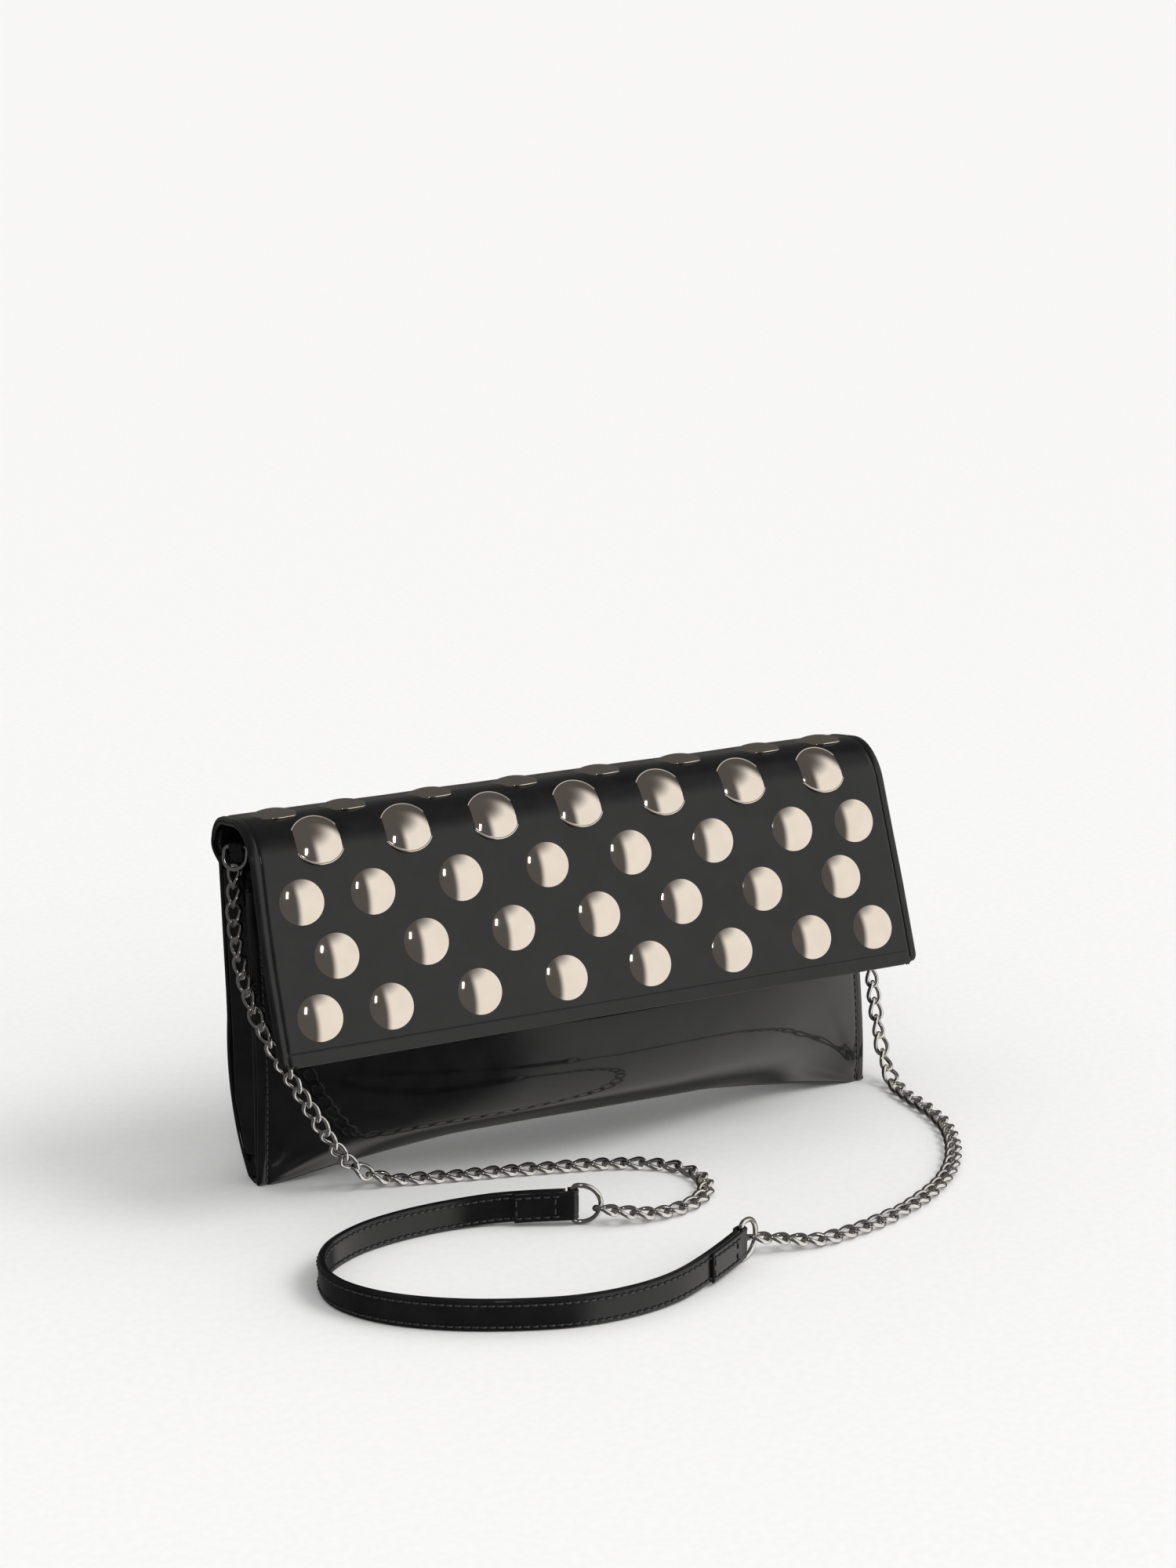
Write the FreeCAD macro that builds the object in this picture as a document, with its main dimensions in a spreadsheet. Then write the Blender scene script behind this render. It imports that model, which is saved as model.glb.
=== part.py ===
"""Studded flap clutch with a chain shoulder strap, as a parametric FreeCAD document.

The bag stands on its two pinched bottom corners.  +Z is up and the flap faces -Y.  The
origin is on the floor under the middle of the bag.  All lengths are in millimetres.
"""
import FreeCAD, Part
import math
import os
import Sketcher

Vector = FreeCAD.Vector
X_AXIS = Vector(1, 0, 0)
Y_AXIS = Vector(0, 1, 0)
Z_AXIS = Vector(0, 0, 1)

ROWS = 5

SIZES = {
    # the flap, seen from the side: three straight stretches and two soft bends
    "flap_width": 272.0,
    "flap_edge_y": -39.3,
    "flap_edge_z": 66.5,
    "crown_front_y": -2.9,
    "crown_front_z": 150.1,
    "crown_back_y": 39.3,
    "crown_back_z": 141.3,
    "hinge_y": 39.3,
    "hinge_z": 127.0,
    "front_bend": 20.0,
    "back_bend": 16.0,
    "flap_corner": 5.0,
    "cover_thickness": 1.4,
    "board_thickness": 1.0,
    "lining_thickness": 0.6,
    "layer_gap": 0.15,
    "board_margin": 6.0,
    # the body: front and back panels, at the middle and at the sides
    "body_width": 264.0,
    "panel_thickness": 2.0,
    "panel_top": 120.0,
    "back_top": 125.5,
    "mid_seam_y": -1.0,
    "mid_seam_z": 14.0,
    "mid_flat": 3.0,
    "side_seam_y": 3.0,
    "side_seam_z": -1.0,
    "side_flat": 4.0,
    "seam_gap": 0.05,
    "front_mid_top_y": -8.9,
    "front_mid_knee_y": -31.4,
    "front_knee_z": 66.0,
    "front_mid_radius": 34.0,
    "front_side_top_y": 5.0,
    "front_side_knee_y": 2.5,
    "front_side_radius": 300.0,
    "back_knee_z": 60.0,
    "back_mid_top_y": 37.4,
    "back_mid_knee_y": 38.3,
    "back_mid_radius": 42.5,
    "back_side_top_y": 37.5,
    "back_side_knee_y": 33.2,
    "back_side_radius": 67.4,
    "lining_width": 220.0,
    "stiffener_width": 228.0,
    "stiffener_low": 26.0,
    "stiffener_high": 114.0,
    "pocket_width": 130.0,
    "pocket_low": 42.0,
    "pocket_high": 98.0,
    # the strip that sews the flap to the back
    "strip_width": 250.0,
    "strip_low": 106.0,
    "strip_thickness": 1.0,
    "strip_setback": 0.3,
    # V gussets
    "gusset_thickness": 2.0,
    "gusset_top": 121.0,
    "gusset_fold_top": 111.5,
    "gusset_fold_middle": 117.0,
    "gusset_fold_low": 122.5,
    "gusset_bottom": 9.0,
    "gusset_low": 27.0,
    "gusset_reach": 1.0,
    "gusset_front_top": 7.4,
    "gusset_back_top": 35.2,
    "gusset_front_middle": 4.9,
    "gusset_back_middle": 31.2,
    "gusset_front_low": 1.4,
    "gusset_back_low": 25.4,
    "gusset_front_bottom": 1.0,
    "gusset_back_bottom": 13.4,
    "gusset_fold_bottom": 125.5,
    # studs
    "stud_radius": 10.7,
    "stud_rise": 3.5,
    "stud_rim": 0.5,
    "stud_wall": 0.5,
    "post_radius": 1.4,
    "post_hole": 1.6,
    "stud_pitch": 36.0,
    "end_pitch": 28.2,
    "stud_back_radius": 4.0,
    "stud_back_hole": 4.6,
    "stud_back_thickness": 0.8,
    "first_row": 16.4,
    "row_pitch": 22.1,
    # magnetic snap
    "snap_radius": 9.0,
    "snap_height": 86.0,
    "snap_gap": 0.3,
    "snap_play": 0.05,
    "socket_thickness": 2.8,
    "socket_hole": 3.9,
    "socket_wall": 0.5,
    "magnet_radius": 7.6,
    "magnet_thickness": 1.8,
    "nib_radius": 2.5,
    "nib_length": 1.0,
    "plug_thickness": 0.9,
    "stem_radius": 1.5,
    "stem_hole": 1.8,
    "washer_thickness": 0.5,
    "washer_play": 0.3,
    "washer_setback": 0.8,
    "cutter_length": 12.0,
    # anchor tabs and rings, and the hardware on the strap
    "ring_wire": 2.0,
    "eye_play": 0.15,
    "anchor_bar_length": 9.0,
    "anchor_reach": 9.0,
    "anchor_inset": 5.2,
    "anchor_z": 131.5,
    "anchor_droop": 66.0,
    "tab_width": 5.6,
    "tab_ply": 1.1,
    "tab_setback": 0.9,
    "tab_low": 108.0,
    "chain_diameter": 7.0,
    "strap_width": 12.0,
    "strap_thickness": 2.8,
    "lap_length": 12.0,
    "lap_ply": 1.2,
    "lap_play": 0.15,
    "strap_ring_bar": 15.0,
    "strap_ring_reach": 10.7,
}

# The chains and the strap lie as they were put down: control points, one after another.
CHAIN_LEFT = [
    (-130.6, 26.9, 120.6), (-133.4, 21.2, 108.5), (-136.0, 8.5, 93.0), (-136.0, -6.5, 77.5),
    (-130.6, -15.2, 62.5), (-123.0, -15.6, 48.5), (-115.8, -16.8, 34.5), (-108.8, -16.6, 21.5),
    (-99.5, -14.6, 9.6), (-85.5, -15.2, 3.9), (-71.0, -19.0, 3.6), (-55.0, -23.0, 3.6),
    (-37.0, -26.8, 3.6), (-20.0, -31.4, 3.6), (-4.0, -35.6, 3.6), (10.0, -41.4, 3.6),
    (21.6, -49.4, 3.6), (26.8, -62.2, 3.6), (23.2, -75.8, 3.6), (11.4, -85.0, 3.6),
    (-3.6, -87.8, 4.0), (-16.0, -86.6, 6.0), (-24.4, -83.4, 7.4),
]
STRAP = [
    (-38.0, -76.6, 8.5), (-57.0, -67.4, 7.6), (-78.0, -62.0, 6.0), (-100.0, -62.6, 6.0),
    (-121.0, -67.5, 6.0), (-138.5, -80.0, 6.0), (-144.0, -100.5, 6.0), (-135.0, -119.5, 6.0),
    (-116.5, -135.5, 6.0), (-92.0, -148.0, 6.0), (-65.0, -156.5, 6.0), (-36.0, -155.5, 6.0),
    (-14.0, -147.0, 7.4), (4.0, -135.8, 8.5),
]
CHAIN_RIGHT = [
    (16.2, -129.6, 7.4), (26.0, -131.6, 6.2), (39.0, -134.0, 3.9), (55.0, -131.6, 3.6),
    (72.0, -127.4, 3.6), (89.0, -120.2, 3.6), (105.5, -110.2, 3.6), (120.0, -97.0, 3.6),
    (131.5, -80.0, 3.6), (139.2, -62.0, 3.6), (141.6, -44.0, 3.6), (140.4, -27.5, 3.6),
    (142.0, -13.0, 4.2), (143.6, -1.5, 12.6), (143.4, 4.0, 27.0), (142.4, 7.0, 45.0),
    (140.6, 11.5, 66.0), (137.8, 17.5, 88.0), (133.8, 22.6, 106.0), (130.6, 26.9, 120.6),
]


class Size:
    """A number that also knows the formula it came from, so that it can be bound to it."""

    def __init__(self, value, formula=None):
        self.value = float(value)
        self.formula = formula if formula is not None else repr(float(value))

    def __add__(self, other):
        other = as_size(other)
        return Size(self.value + other.value, f"({self.formula} + {other.formula})")

    def __sub__(self, other):
        other = as_size(other)
        return Size(self.value - other.value, f"({self.formula} - {other.formula})")

    def __mul__(self, other):
        other = as_size(other)
        return Size(self.value * other.value, f"({self.formula} * {other.formula})")

    def __truediv__(self, other):
        other = as_size(other)
        return Size(self.value / other.value, f"({self.formula} / {other.formula})")

    def __neg__(self):
        return Size(-self.value, f"(-1 * {self.formula})")


def as_size(amount):
    return amount if isinstance(amount, Size) else Size(amount)


doc = FreeCAD.newDocument("clutch")


def make_sheet():
    sheet = doc.addObject("Spreadsheet::Sheet", "Sizes")
    for row, (alias, value) in enumerate(SIZES.items(), start=1):
        sheet.set(f"A{row}", alias)
        sheet.set(f"B{row}", str(value))
        sheet.setAlias(f"B{row}", alias)
    doc.recompute()
    return {alias: Size(sheet.get(alias), f"Sizes.{alias}") for alias in SIZES}


size = make_sheet()
sub_parts = []


def keep(feature, label):
    """Names a finished sub-part and puts it on the list that is written out."""
    feature.Label = label
    sub_parts.append(feature)
    return feature


def bind(feature, name, amount):
    amount = as_size(amount)
    setattr(feature, name, amount.value)
    feature.setExpression(name, amount.formula)


# ---------------------------------------------------------------- sketches

def new_body(name):
    return doc.addObject("PartDesign::Body", name)


def origin_plane(body, role):
    for feature in body.Origin.OriginFeatures:
        if feature.Role == role:
            return feature
    raise ValueError(role)


def new_sketch(body, role, offset=None):
    """A sketch on one of the body's own origin planes, moved along the plane's normal."""
    sketch = body.newObject("Sketcher::SketchObject", "sketch")
    sketch.AttachmentSupport = [(origin_plane(body, role), "")]
    sketch.MapMode = "FlatFace"
    if offset is not None:
        sketch.AttachmentOffset = FreeCAD.Placement(
            Vector(0, 0, offset.value), FreeCAD.Rotation())
        sketch.setExpression("AttachmentOffset.Base.z", offset.formula)
    return sketch


def flat_point(point):
    return Vector(as_size(point[0]).value, as_size(point[1]).value, 0)


def pin(sketch, line, end, point):
    """Holds one end of a sketch line at bound coordinates."""
    for kind, amount in zip(("DistanceX", "DistanceY"), point):
        amount = as_size(amount)
        number = sketch.addConstraint(Sketcher.Constraint(kind, -1, 1, line, end, amount.value))
        sketch.setExpression(f"Constraints[{number}]", amount.formula)


def draw_polygon(sketch, points):
    """A closed outline of straight lines whose corners are all bound."""
    first = sketch.GeometryCount
    count = len(points)
    for number, point in enumerate(points):
        following = points[(number + 1) % count]
        sketch.addGeometry(Part.LineSegment(flat_point(point), flat_point(following)), False)
    for number in range(count):
        after = first + (number + 1) % count
        sketch.addConstraint(Sketcher.Constraint("Coincident", first + number, 2, after, 1))
        pin(sketch, first + number, 1, points[number])


def set_distance(sketch, line, end, reference, amount):
    """Holds a line's end at a bound distance from a reference line."""
    number = sketch.addConstraint(
        Sketcher.Constraint("Distance", line, end, reference, amount.value))
    sketch.setExpression(f"Constraints[{number}]", amount.formula)


def symmetric_pad(body, sketch, length):
    pad = body.newObject("PartDesign::Pad", "pad")
    pad.Profile = sketch
    pad.SideType = "Symmetric"
    bind(pad, "Length", length)
    return pad


def edges_through(shape, points, tolerance=0.02):
    """Names of the straight edges that pass through any of the given points."""
    names = []
    for number, edge in enumerate(shape.Edges, start=1):
        if edge.Curve.TypeId != "Part::GeomLine":
            continue
        for point in points:
            if edge.distToShape(Part.Vertex(point))[0] < tolerance:
                names.append(f"Edge{number}")
                break
    return names


def round_edges(body, base, points, radius):
    doc.recompute()
    fillet = body.newObject("PartDesign::Fillet", "fillet")
    fillet.Base = (base, edges_through(base.Shape, points))
    bind(fillet, "Radius", radius)
    return fillet


# ---------------------------------------------------------------- the flap

def flap_corners():
    """The corners of the flap's outer line, from its front edge to the hinge."""
    return [
        (size["flap_edge_y"], size["flap_edge_z"]),
        (size["crown_front_y"], size["crown_front_z"]),
        (size["crown_back_y"], size["crown_back_z"]),
        (size["hinge_y"], size["hinge_z"]),
    ]


def inset_line(points, depth):
    """Corners of a line that runs inside another at a fixed depth."""
    vectors = [flat_point(point) for point in points]
    directions = [(after - before).normalize() for before, after in zip(vectors, vectors[1:])]
    normals = [Vector(direction.y, -direction.x, 0) for direction in directions]
    inset = [vectors[0] + normals[0] * depth]
    for number in range(1, len(vectors) - 1):
        before, after = normals[number - 1], normals[number]
        inset.append(vectors[number] + (before + after) * (depth / (1 + before.dot(after))))
    inset.append(vectors[-1] + normals[-1] * depth)
    return inset


def draw_layer(sketch, outer_depth, inner_depth):
    """One layer of the flap, between two depths under the flap's outer line."""
    corners = flap_corners()
    for before, after in zip(corners, corners[1:]):
        line = sketch.addGeometry(Part.LineSegment(flat_point(before), flat_point(after)), True)
        pin(sketch, line, 1, before)
        pin(sketch, line, 2, after)
    outer = inset_line(corners, outer_depth.value)
    inner = inset_line(corners, inner_depth.value)
    outline = outer + inner[::-1]
    first = sketch.GeometryCount
    count = len(outline)
    for number in range(count):
        segment = Part.LineSegment(outline[number], outline[(number + 1) % count])
        sketch.addGeometry(segment, False)
    for number in range(count):
        after = first + (number + 1) % count
        sketch.addConstraint(Sketcher.Constraint("Coincident", first + number, 2, after, 1))
    for stretch in range(3):
        for line, depth in ((first + stretch, outer_depth), (first + 6 - stretch, inner_depth)):
            sketch.addConstraint(Sketcher.Constraint("Parallel", line, stretch))
            if depth.value == 0:
                sketch.addConstraint(Sketcher.Constraint("PointOnObject", line, 1, stretch))
            else:
                set_distance(sketch, line, 1, stretch, depth)
    for end_line, reference in ((first + 3, 2), (first + 7, 0)):
        sketch.addConstraint(Sketcher.Constraint("Perpendicular", end_line, reference))
    sketch.addConstraint(Sketcher.Constraint("PointOnObject", 2, 2, first + 3))
    sketch.addConstraint(Sketcher.Constraint("PointOnObject", 0, 1, first + 7))
    return outer, inner


def flap_layer(name, outer_depth, inner_depth, width):
    """A layer of the flap, padded across the bag and bent over the crown."""
    body = new_body(name)
    sketch = new_sketch(body, "YZ_Plane")
    outer, inner = draw_layer(sketch, outer_depth, inner_depth)
    feature = symmetric_pad(body, sketch, width)
    for corner, bend in ((1, size["front_bend"]), (2, size["back_bend"])):
        for line, depth in ((outer, outer_depth), (inner, inner_depth)):
            middle = Vector(0, line[corner].x, line[corner].y)
            feature = round_edges(body, feature, [middle], bend - depth)
    half = width.value / 2
    edge_middle = (outer[0] + inner[0]) * 0.5
    ends = [Vector(side * half, edge_middle.x, edge_middle.y) for side in (-1, 1)]
    return round_edges(body, feature, ends, size["flap_corner"])


def flap_line(distance):
    """Place and outward direction on the flap's outer line, from its front edge upwards."""
    points = [flat_point(point) for point in flap_corners()]
    rise = (points[1] - points[0]).normalize()
    top = (points[2] - points[1]).normalize()
    turn = math.acos(rise.dot(top))
    bend = size["front_bend"].value
    straight = (points[1] - points[0]).Length - bend * math.tan(turn / 2)
    outward = Vector(-rise.y, rise.x, 0)
    if distance <= straight:
        place = points[0] + rise * distance
    else:
        centre = points[0] + rise * straight - outward * bend
        angle = min((distance - straight) / bend, turn)
        spin = FreeCAD.Rotation(Z_AXIS, -math.degrees(angle))
        outward = spin.multVec(outward)
        place = centre + outward * bend
        if angle == turn:
            place = place + top * (distance - straight - bend * turn)
    return Vector(0, place.x, place.y), Vector(0, outward.x, outward.y)


# ---------------------------------------------------------------- panels

def draw_section(sketch, top, knee, radius, seam, flat, outer_depth, inner_depth, side):
    """A panel's section: a straight upper stretch, a round belly and a flat foot.

    side is -1 for the front panel, whose belly bulges to -Y, and +1 for the back panel.
    The layer lies between two depths inside the outer line, whose belly is the reference.
    """
    foot = (seam[0] + flat * side, seam[1])
    line = section_line(top, knee, radius, foot, seam, 0, side)
    reference, knee_end, foot_end = add_arc(sketch, *line[1:4], True)
    pin(sketch, reference, knee_end, knee)
    pin(sketch, reference, foot_end, foot)
    bind_radius(sketch, reference, radius)
    ends = []
    for depth in (outer_depth, inner_depth):
        points = section_line(top, knee, radius, foot, seam, depth.value, side)
        upper = sketch.addGeometry(Part.LineSegment(points[0], points[1]), False)
        belly, knee_end, foot_end = add_arc(sketch, *points[1:4], False)
        lower = sketch.addGeometry(Part.LineSegment(points[3], points[4]), False)
        floor = as_size(seam[1]) + depth
        pin(sketch, upper, 1, (top[0] - depth * side, top[1]))
        pin_height(sketch, upper, 2, knee[1])
        pin_height(sketch, lower, 1, floor)
        pin(sketch, lower, 2, (seam[0], floor))
        sketch.addConstraint(Sketcher.Constraint("Coincident", upper, 2, belly, knee_end))
        sketch.addConstraint(Sketcher.Constraint("Coincident", lower, 1, belly, foot_end))
        sketch.addConstraint(Sketcher.Constraint("Coincident", belly, 3, reference, 3))
        bind_radius(sketch, belly, radius - depth)
        ends.append((upper, lower, points))
    (upper_o, lower_o, points_o), (upper_i, lower_i, points_i) = ends
    for (first, end, start_point), (second, _, end_point) in (
            ((upper_o, 1, points_o[0]), (upper_i, 1, points_i[0])),
            ((lower_o, 2, points_o[4]), (lower_i, 2, points_i[4]))):
        cap = sketch.addGeometry(Part.LineSegment(start_point, end_point), False)
        sketch.addConstraint(Sketcher.Constraint("Coincident", cap, 1, first, end))
        sketch.addConstraint(Sketcher.Constraint("Coincident", cap, 2, second, end))


def add_arc(sketch, start, middle, end, construction):
    """An arc through three points: its number, and which of its ends is the start."""
    if (middle - start).cross(end - middle).z > 0:
        return sketch.addGeometry(Part.Arc(start, middle, end), construction), 1, 2
    return sketch.addGeometry(Part.Arc(end, middle, start), construction), 2, 1


def bind_radius(sketch, arc, radius):
    number = sketch.addConstraint(Sketcher.Constraint("Radius", arc, radius.value))
    sketch.setExpression(f"Constraints[{number}]", radius.formula)


def pin_height(sketch, line, end, height):
    height = as_size(height)
    number = sketch.addConstraint(
        Sketcher.Constraint("DistanceY", -1, 1, line, end, height.value))
    sketch.setExpression(f"Constraints[{number}]", height.formula)


def section_line(top, knee, radius, foot, seam, depth, side):
    """Points of the line at a depth inside the section's outer line."""
    knee_point = flat_point(knee)
    foot_point = flat_point(foot)
    chord = foot_point - knee_point
    half = chord.Length / 2
    inward = Vector(-chord.y, chord.x, 0).normalize()
    if inward.x * side > 0:
        inward = inward * -1
    centre = (knee_point + foot_point) * 0.5 + inward * math.sqrt(radius.value ** 2 - half ** 2)
    inner_radius = radius.value - depth
    floor = as_size(seam[1]).value + depth
    reach = math.sqrt(inner_radius ** 2 - (floor - centre.y) ** 2)
    foot_inner = Vector(centre.x + side * reach, floor, 0)
    reach = math.sqrt(inner_radius ** 2 - (knee_point.y - centre.y) ** 2)
    knee_inner = Vector(centre.x + side * reach, knee_point.y, 0)
    top_inner = flat_point(top) - Vector(side * depth, 0, 0)
    seam_inner = Vector(as_size(seam[0]).value, floor, 0)
    toward = (knee_inner + foot_inner) * 0.5 - centre
    middle = centre + toward.normalize() * inner_radius
    return top_inner, knee_inner, middle, foot_inner, seam_inner


def panel_sections(side):
    """Top, knee, radius, seam and flat of a panel at its middle and at its sides."""
    face = "front" if side < 0 else "back"
    top_z = size["panel_top"] if side < 0 else size["back_top"]
    knee_z = size[f"{face}_knee_z"]
    gap = size["seam_gap"] * side
    middle = (
        (size[f"{face}_mid_top_y"], top_z), (size[f"{face}_mid_knee_y"], knee_z),
        size[f"{face}_mid_radius"], (size["mid_seam_y"] + gap, size["mid_seam_z"]),
        size["mid_flat"])
    edge = (
        (size[f"{face}_side_top_y"], top_z), (size[f"{face}_side_knee_y"], knee_z),
        size[f"{face}_side_radius"], (size["side_seam_y"] + gap, size["side_seam_z"]),
        size["side_flat"])
    return middle, edge


def panel_layer(name, side, outer_depth, inner_depth):
    """A layer lofted from the pinched side through the full middle to the other side."""
    body = new_body(name)
    middle, edge = panel_sections(side)
    half = size["body_width"] / 2
    sketches = []
    for offset, section in ((-half, edge), (Size(0), middle), (half, edge)):
        sketch = new_sketch(body, "YZ_Plane", offset)
        draw_section(sketch, *section, outer_depth, inner_depth, side)
        sketches.append(sketch)
    loft = body.newObject("PartDesign::AdditiveLoft", "loft")
    loft.Profile = sketches[0]
    loft.Sections = sketches[1:]
    return body


def new_box(name, width, low_y, high_y, low_z, high_z):
    """A box across the middle of the bag, used to trim a layer to its own size."""
    box = doc.addObject("Part::Box", name)
    bind(box, "Length", width)
    bind(box, "Width", high_y - low_y)
    bind(box, "Height", high_z - low_z)
    box.Placement.Base = Vector(-width.value / 2, low_y.value, low_z.value)
    box.setExpression("Placement.Base.x", (-(width / 2)).formula)
    box.setExpression("Placement.Base.y", low_y.formula)
    box.setExpression("Placement.Base.z", low_z.formula)
    return box


def trimmed_layer(name, side, outer_depth, inner_depth, width, low, high):
    layer = panel_layer(f"{name}_whole", side, outer_depth, inner_depth)
    reach = size["body_width"]
    box = new_box(f"{name}_trim", width, -reach, reach, low, high)
    common = doc.addObject("Part::Common", name)
    common.Base = layer
    common.Tool = box
    return common


# ---------------------------------------------------------------- gussets

def gusset_section(sketch, side, fold, front, back):
    """A V of one thickness: the flanges meet the panels and the fold points inwards."""
    thick = size["gusset_thickness"]
    rim = size["body_width"] / 2 - size["gusset_reach"]
    middle = (front + back) / 2
    outer = [(rim, front), (fold, middle), (rim, back)]
    inner = [(rim - thick, back), (fold - thick, middle), (rim - thick, front)]
    draw_polygon(sketch, [(x * side, y) for x, y in outer + inner])


def make_gusset(name, side):
    body = new_body(name)
    heights = {"bottom": "gusset_bottom", "low": "gusset_low", "middle": "front_knee_z",
               "top": "gusset_top"}
    sketches = []
    for level, height in heights.items():
        sketch = new_sketch(body, "XY_Plane", size[height])
        gusset_section(sketch, side, size[f"gusset_fold_{level}"], size[f"gusset_front_{level}"],
                       size[f"gusset_back_{level}"])
        sketches.append(sketch)
    loft = body.newObject("PartDesign::AdditiveLoft", "loft")
    loft.Profile = sketches[0]
    loft.Sections = sketches[1:]
    loft.Ruled = True
    return keep(body, name)


# ---------------------------------------------------------------- studs and snap

def facing(place, outward):
    """Placement that turns +Z to a direction of the flap's side view."""
    return FreeCAD.Placement(place, FreeCAD.Rotation(Z_AXIS, outward))


def stud_shape():
    """A pressed dome with a turned rim, and the post that holds it."""
    radius = size["stud_radius"].value
    rise = size["stud_rise"].value
    rim = size["stud_rim"].value
    wall = size["stud_wall"].value
    crown = rise - rim
    ball = (radius ** 2 + crown ** 2) / (2 * crown)
    slant = math.radians(45)
    half_angle = math.asin(radius / ball) / 2
    outside = Vector(ball * math.sin(half_angle), 0, rise - ball + ball * math.cos(half_angle))
    inner_ball = ball - wall
    base = (radius - wall * math.cos(slant), rim)
    inner_rise = rise - wall
    inner_half = math.asin(base[0] / inner_ball) / 2
    inside = Vector(inner_ball * math.sin(inner_half), 0,
                    inner_rise - inner_ball + inner_ball * math.cos(inner_half))
    post = size["post_radius"].value
    depth = size["cover_thickness"].value + size["stud_back_thickness"].value
    under_dome = inner_rise - inner_ball + math.sqrt(inner_ball ** 2 - post ** 2)
    inner_edge = inner_rise - inner_ball + math.sqrt(inner_ball ** 2 - base[0] ** 2)
    outline = [
        Part.Arc(Vector(0, 0, rise), outside, Vector(radius, 0, rim)).toShape(),
        Part.makeLine(Vector(radius, 0, rim), Vector(radius, 0, 0)),
        Part.makeLine(Vector(radius, 0, 0), Vector(base[0], 0, 0)),
        Part.makeLine(Vector(base[0], 0, 0), Vector(base[0], 0, inner_edge)),
        inner_arc(base[0], inner_edge, inside, post, under_dome),
        Part.makeLine(Vector(post, 0, under_dome), Vector(post, 0, -depth)),
        Part.makeLine(Vector(post, 0, -depth), Vector(0, 0, -depth)),
        Part.makeLine(Vector(0, 0, -depth), Vector(0, 0, rise)),
    ]
    face = Part.Face(Part.Wire(outline))
    return face.revolve(Vector(0, 0, 0), Z_AXIS, 360)


def inner_arc(edge_x, edge_z, middle, post_x, post_z):
    return Part.Arc(Vector(edge_x, 0, edge_z), middle, Vector(post_x, 0, post_z)).toShape()


def row_places(row):
    """Places across the bag for a row: seven or eight studs, closer at the ends of eight."""
    pitch = size["stud_pitch"].value
    if row % 2:
        return [pitch * step for step in range(-3, 4)]
    inner = [pitch * (step + 0.5) for step in range(3)]
    half_row = inner + [inner[-1] + size["end_pitch"].value]
    return sorted([-x for x in half_row] + half_row)


def row_distance(row):
    return size["first_row"].value + size["row_pitch"].value * row


def placed_row(name, shape, row, depth=0.0):
    """One row of identical pieces, each a separate solid, set square to the flap."""
    centre, outward = flap_line(row_distance(row))
    copies = []
    for across in row_places(row):
        copy = shape.copy()
        place = centre + Vector(across, 0, 0) - outward * depth
        copy.Placement = facing(place, outward)
        copies.append(copy)
    feature = doc.addObject("Part::Feature", name)
    feature.Shape = Part.makeCompound(copies)
    return feature


def row_holes(radius, rows):
    """Round cutters through the flap at each stud of the given rows."""
    cutters = []
    through = size["cutter_length"].value
    for row in rows:
        centre, outward = flap_line(row_distance(row))
        for across in row_places(row):
            start = centre + Vector(across, 0, 0) + outward * (through / 2)
            cutters.append(Part.makeCylinder(radius, through, start, outward * -1))
    return cutters


def snap_line():
    """Where the snap sits: on the flap's straight front, and square to it."""
    lift = size["snap_height"].value - size["flap_edge_z"].value
    points = [flat_point(point) for point in flap_corners()]
    rise = (points[1] - points[0]).normalize()
    return flap_line(lift / rise.y)


def disc(name, radius, thickness, depth, hole=None):
    """A disc square to the flap's front, whose outer face lies at a depth under it."""
    place, outward = snap_line()
    feature = doc.addObject("Part::Cylinder", name)
    bind(feature, "Radius", radius)
    bind(feature, "Height", thickness)
    feature.Placement = facing(place - outward * (depth + thickness.value), outward)
    if hole is None:
        return feature
    cutter = doc.addObject("Part::Cylinder", f"{name}_hole")
    bind(cutter, "Radius", hole)
    bind(cutter, "Height", thickness * 3)
    cutter.Placement = facing(place - outward * (depth + thickness.value * 2), outward)
    cut = doc.addObject("Part::Cut", f"{name}_ring")
    cut.Base = feature
    cut.Tool = cutter
    return cut


def cut_away(name, base, cutters):
    tool = doc.addObject("Part::Feature", f"{name}_cutters")
    tool.Shape = Part.makeCompound(cutters)
    cut = doc.addObject("Part::Cut", f"{name}_cut")
    cut.Base = base
    cut.Tool = tool
    return cut


def fuse(name, pieces):
    joined = doc.addObject("Part::MultiFuse", f"{name}_joined")
    joined.Shapes = pieces
    return joined


# ---------------------------------------------------------------- wire, chain and strap

def rounded_path(points):
    """Straight runs joined by tangent arcs, each as large as its two runs allow."""
    vectors = [Vector(*point) for point in points]
    edges = []
    radii = []
    start = vectors[0]
    for before, corner, after in zip(vectors, vectors[1:], vectors[2:]):
        arriving = corner - before
        leaving = after - corner
        turn = arriving.getAngle(leaving)
        trim = 0.45 * min(arriving.Length, leaving.Length)
        radii.append(trim / math.tan(turn / 2))
        enter = corner - arriving.normalize() * trim
        leave = corner + leaving.normalize() * trim
        bisector = (enter + leave) * 0.5 - corner
        reach = radii[-1] / math.cos(turn / 2) - radii[-1]
        middle = corner + bisector.normalize() * reach
        edges.append(Part.LineSegment(start, enter).toShape())
        edges.append(Part.Arc(enter, middle, leave).toShape())
        start = leave
    edges.append(Part.LineSegment(start, vectors[-1]).toShape())
    return Part.Wire(edges), radii


def report_route(name, path, radii, section, shape):
    volume = section * path.Length
    print(f"{name}: length {path.Length:.1f}, least radius {min(radii):.1f}, "
          f"radii {[round(radius, 1) for radius in radii]}, "
          f"volume over section times length {shape.Volume / volume:.4f}")


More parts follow.
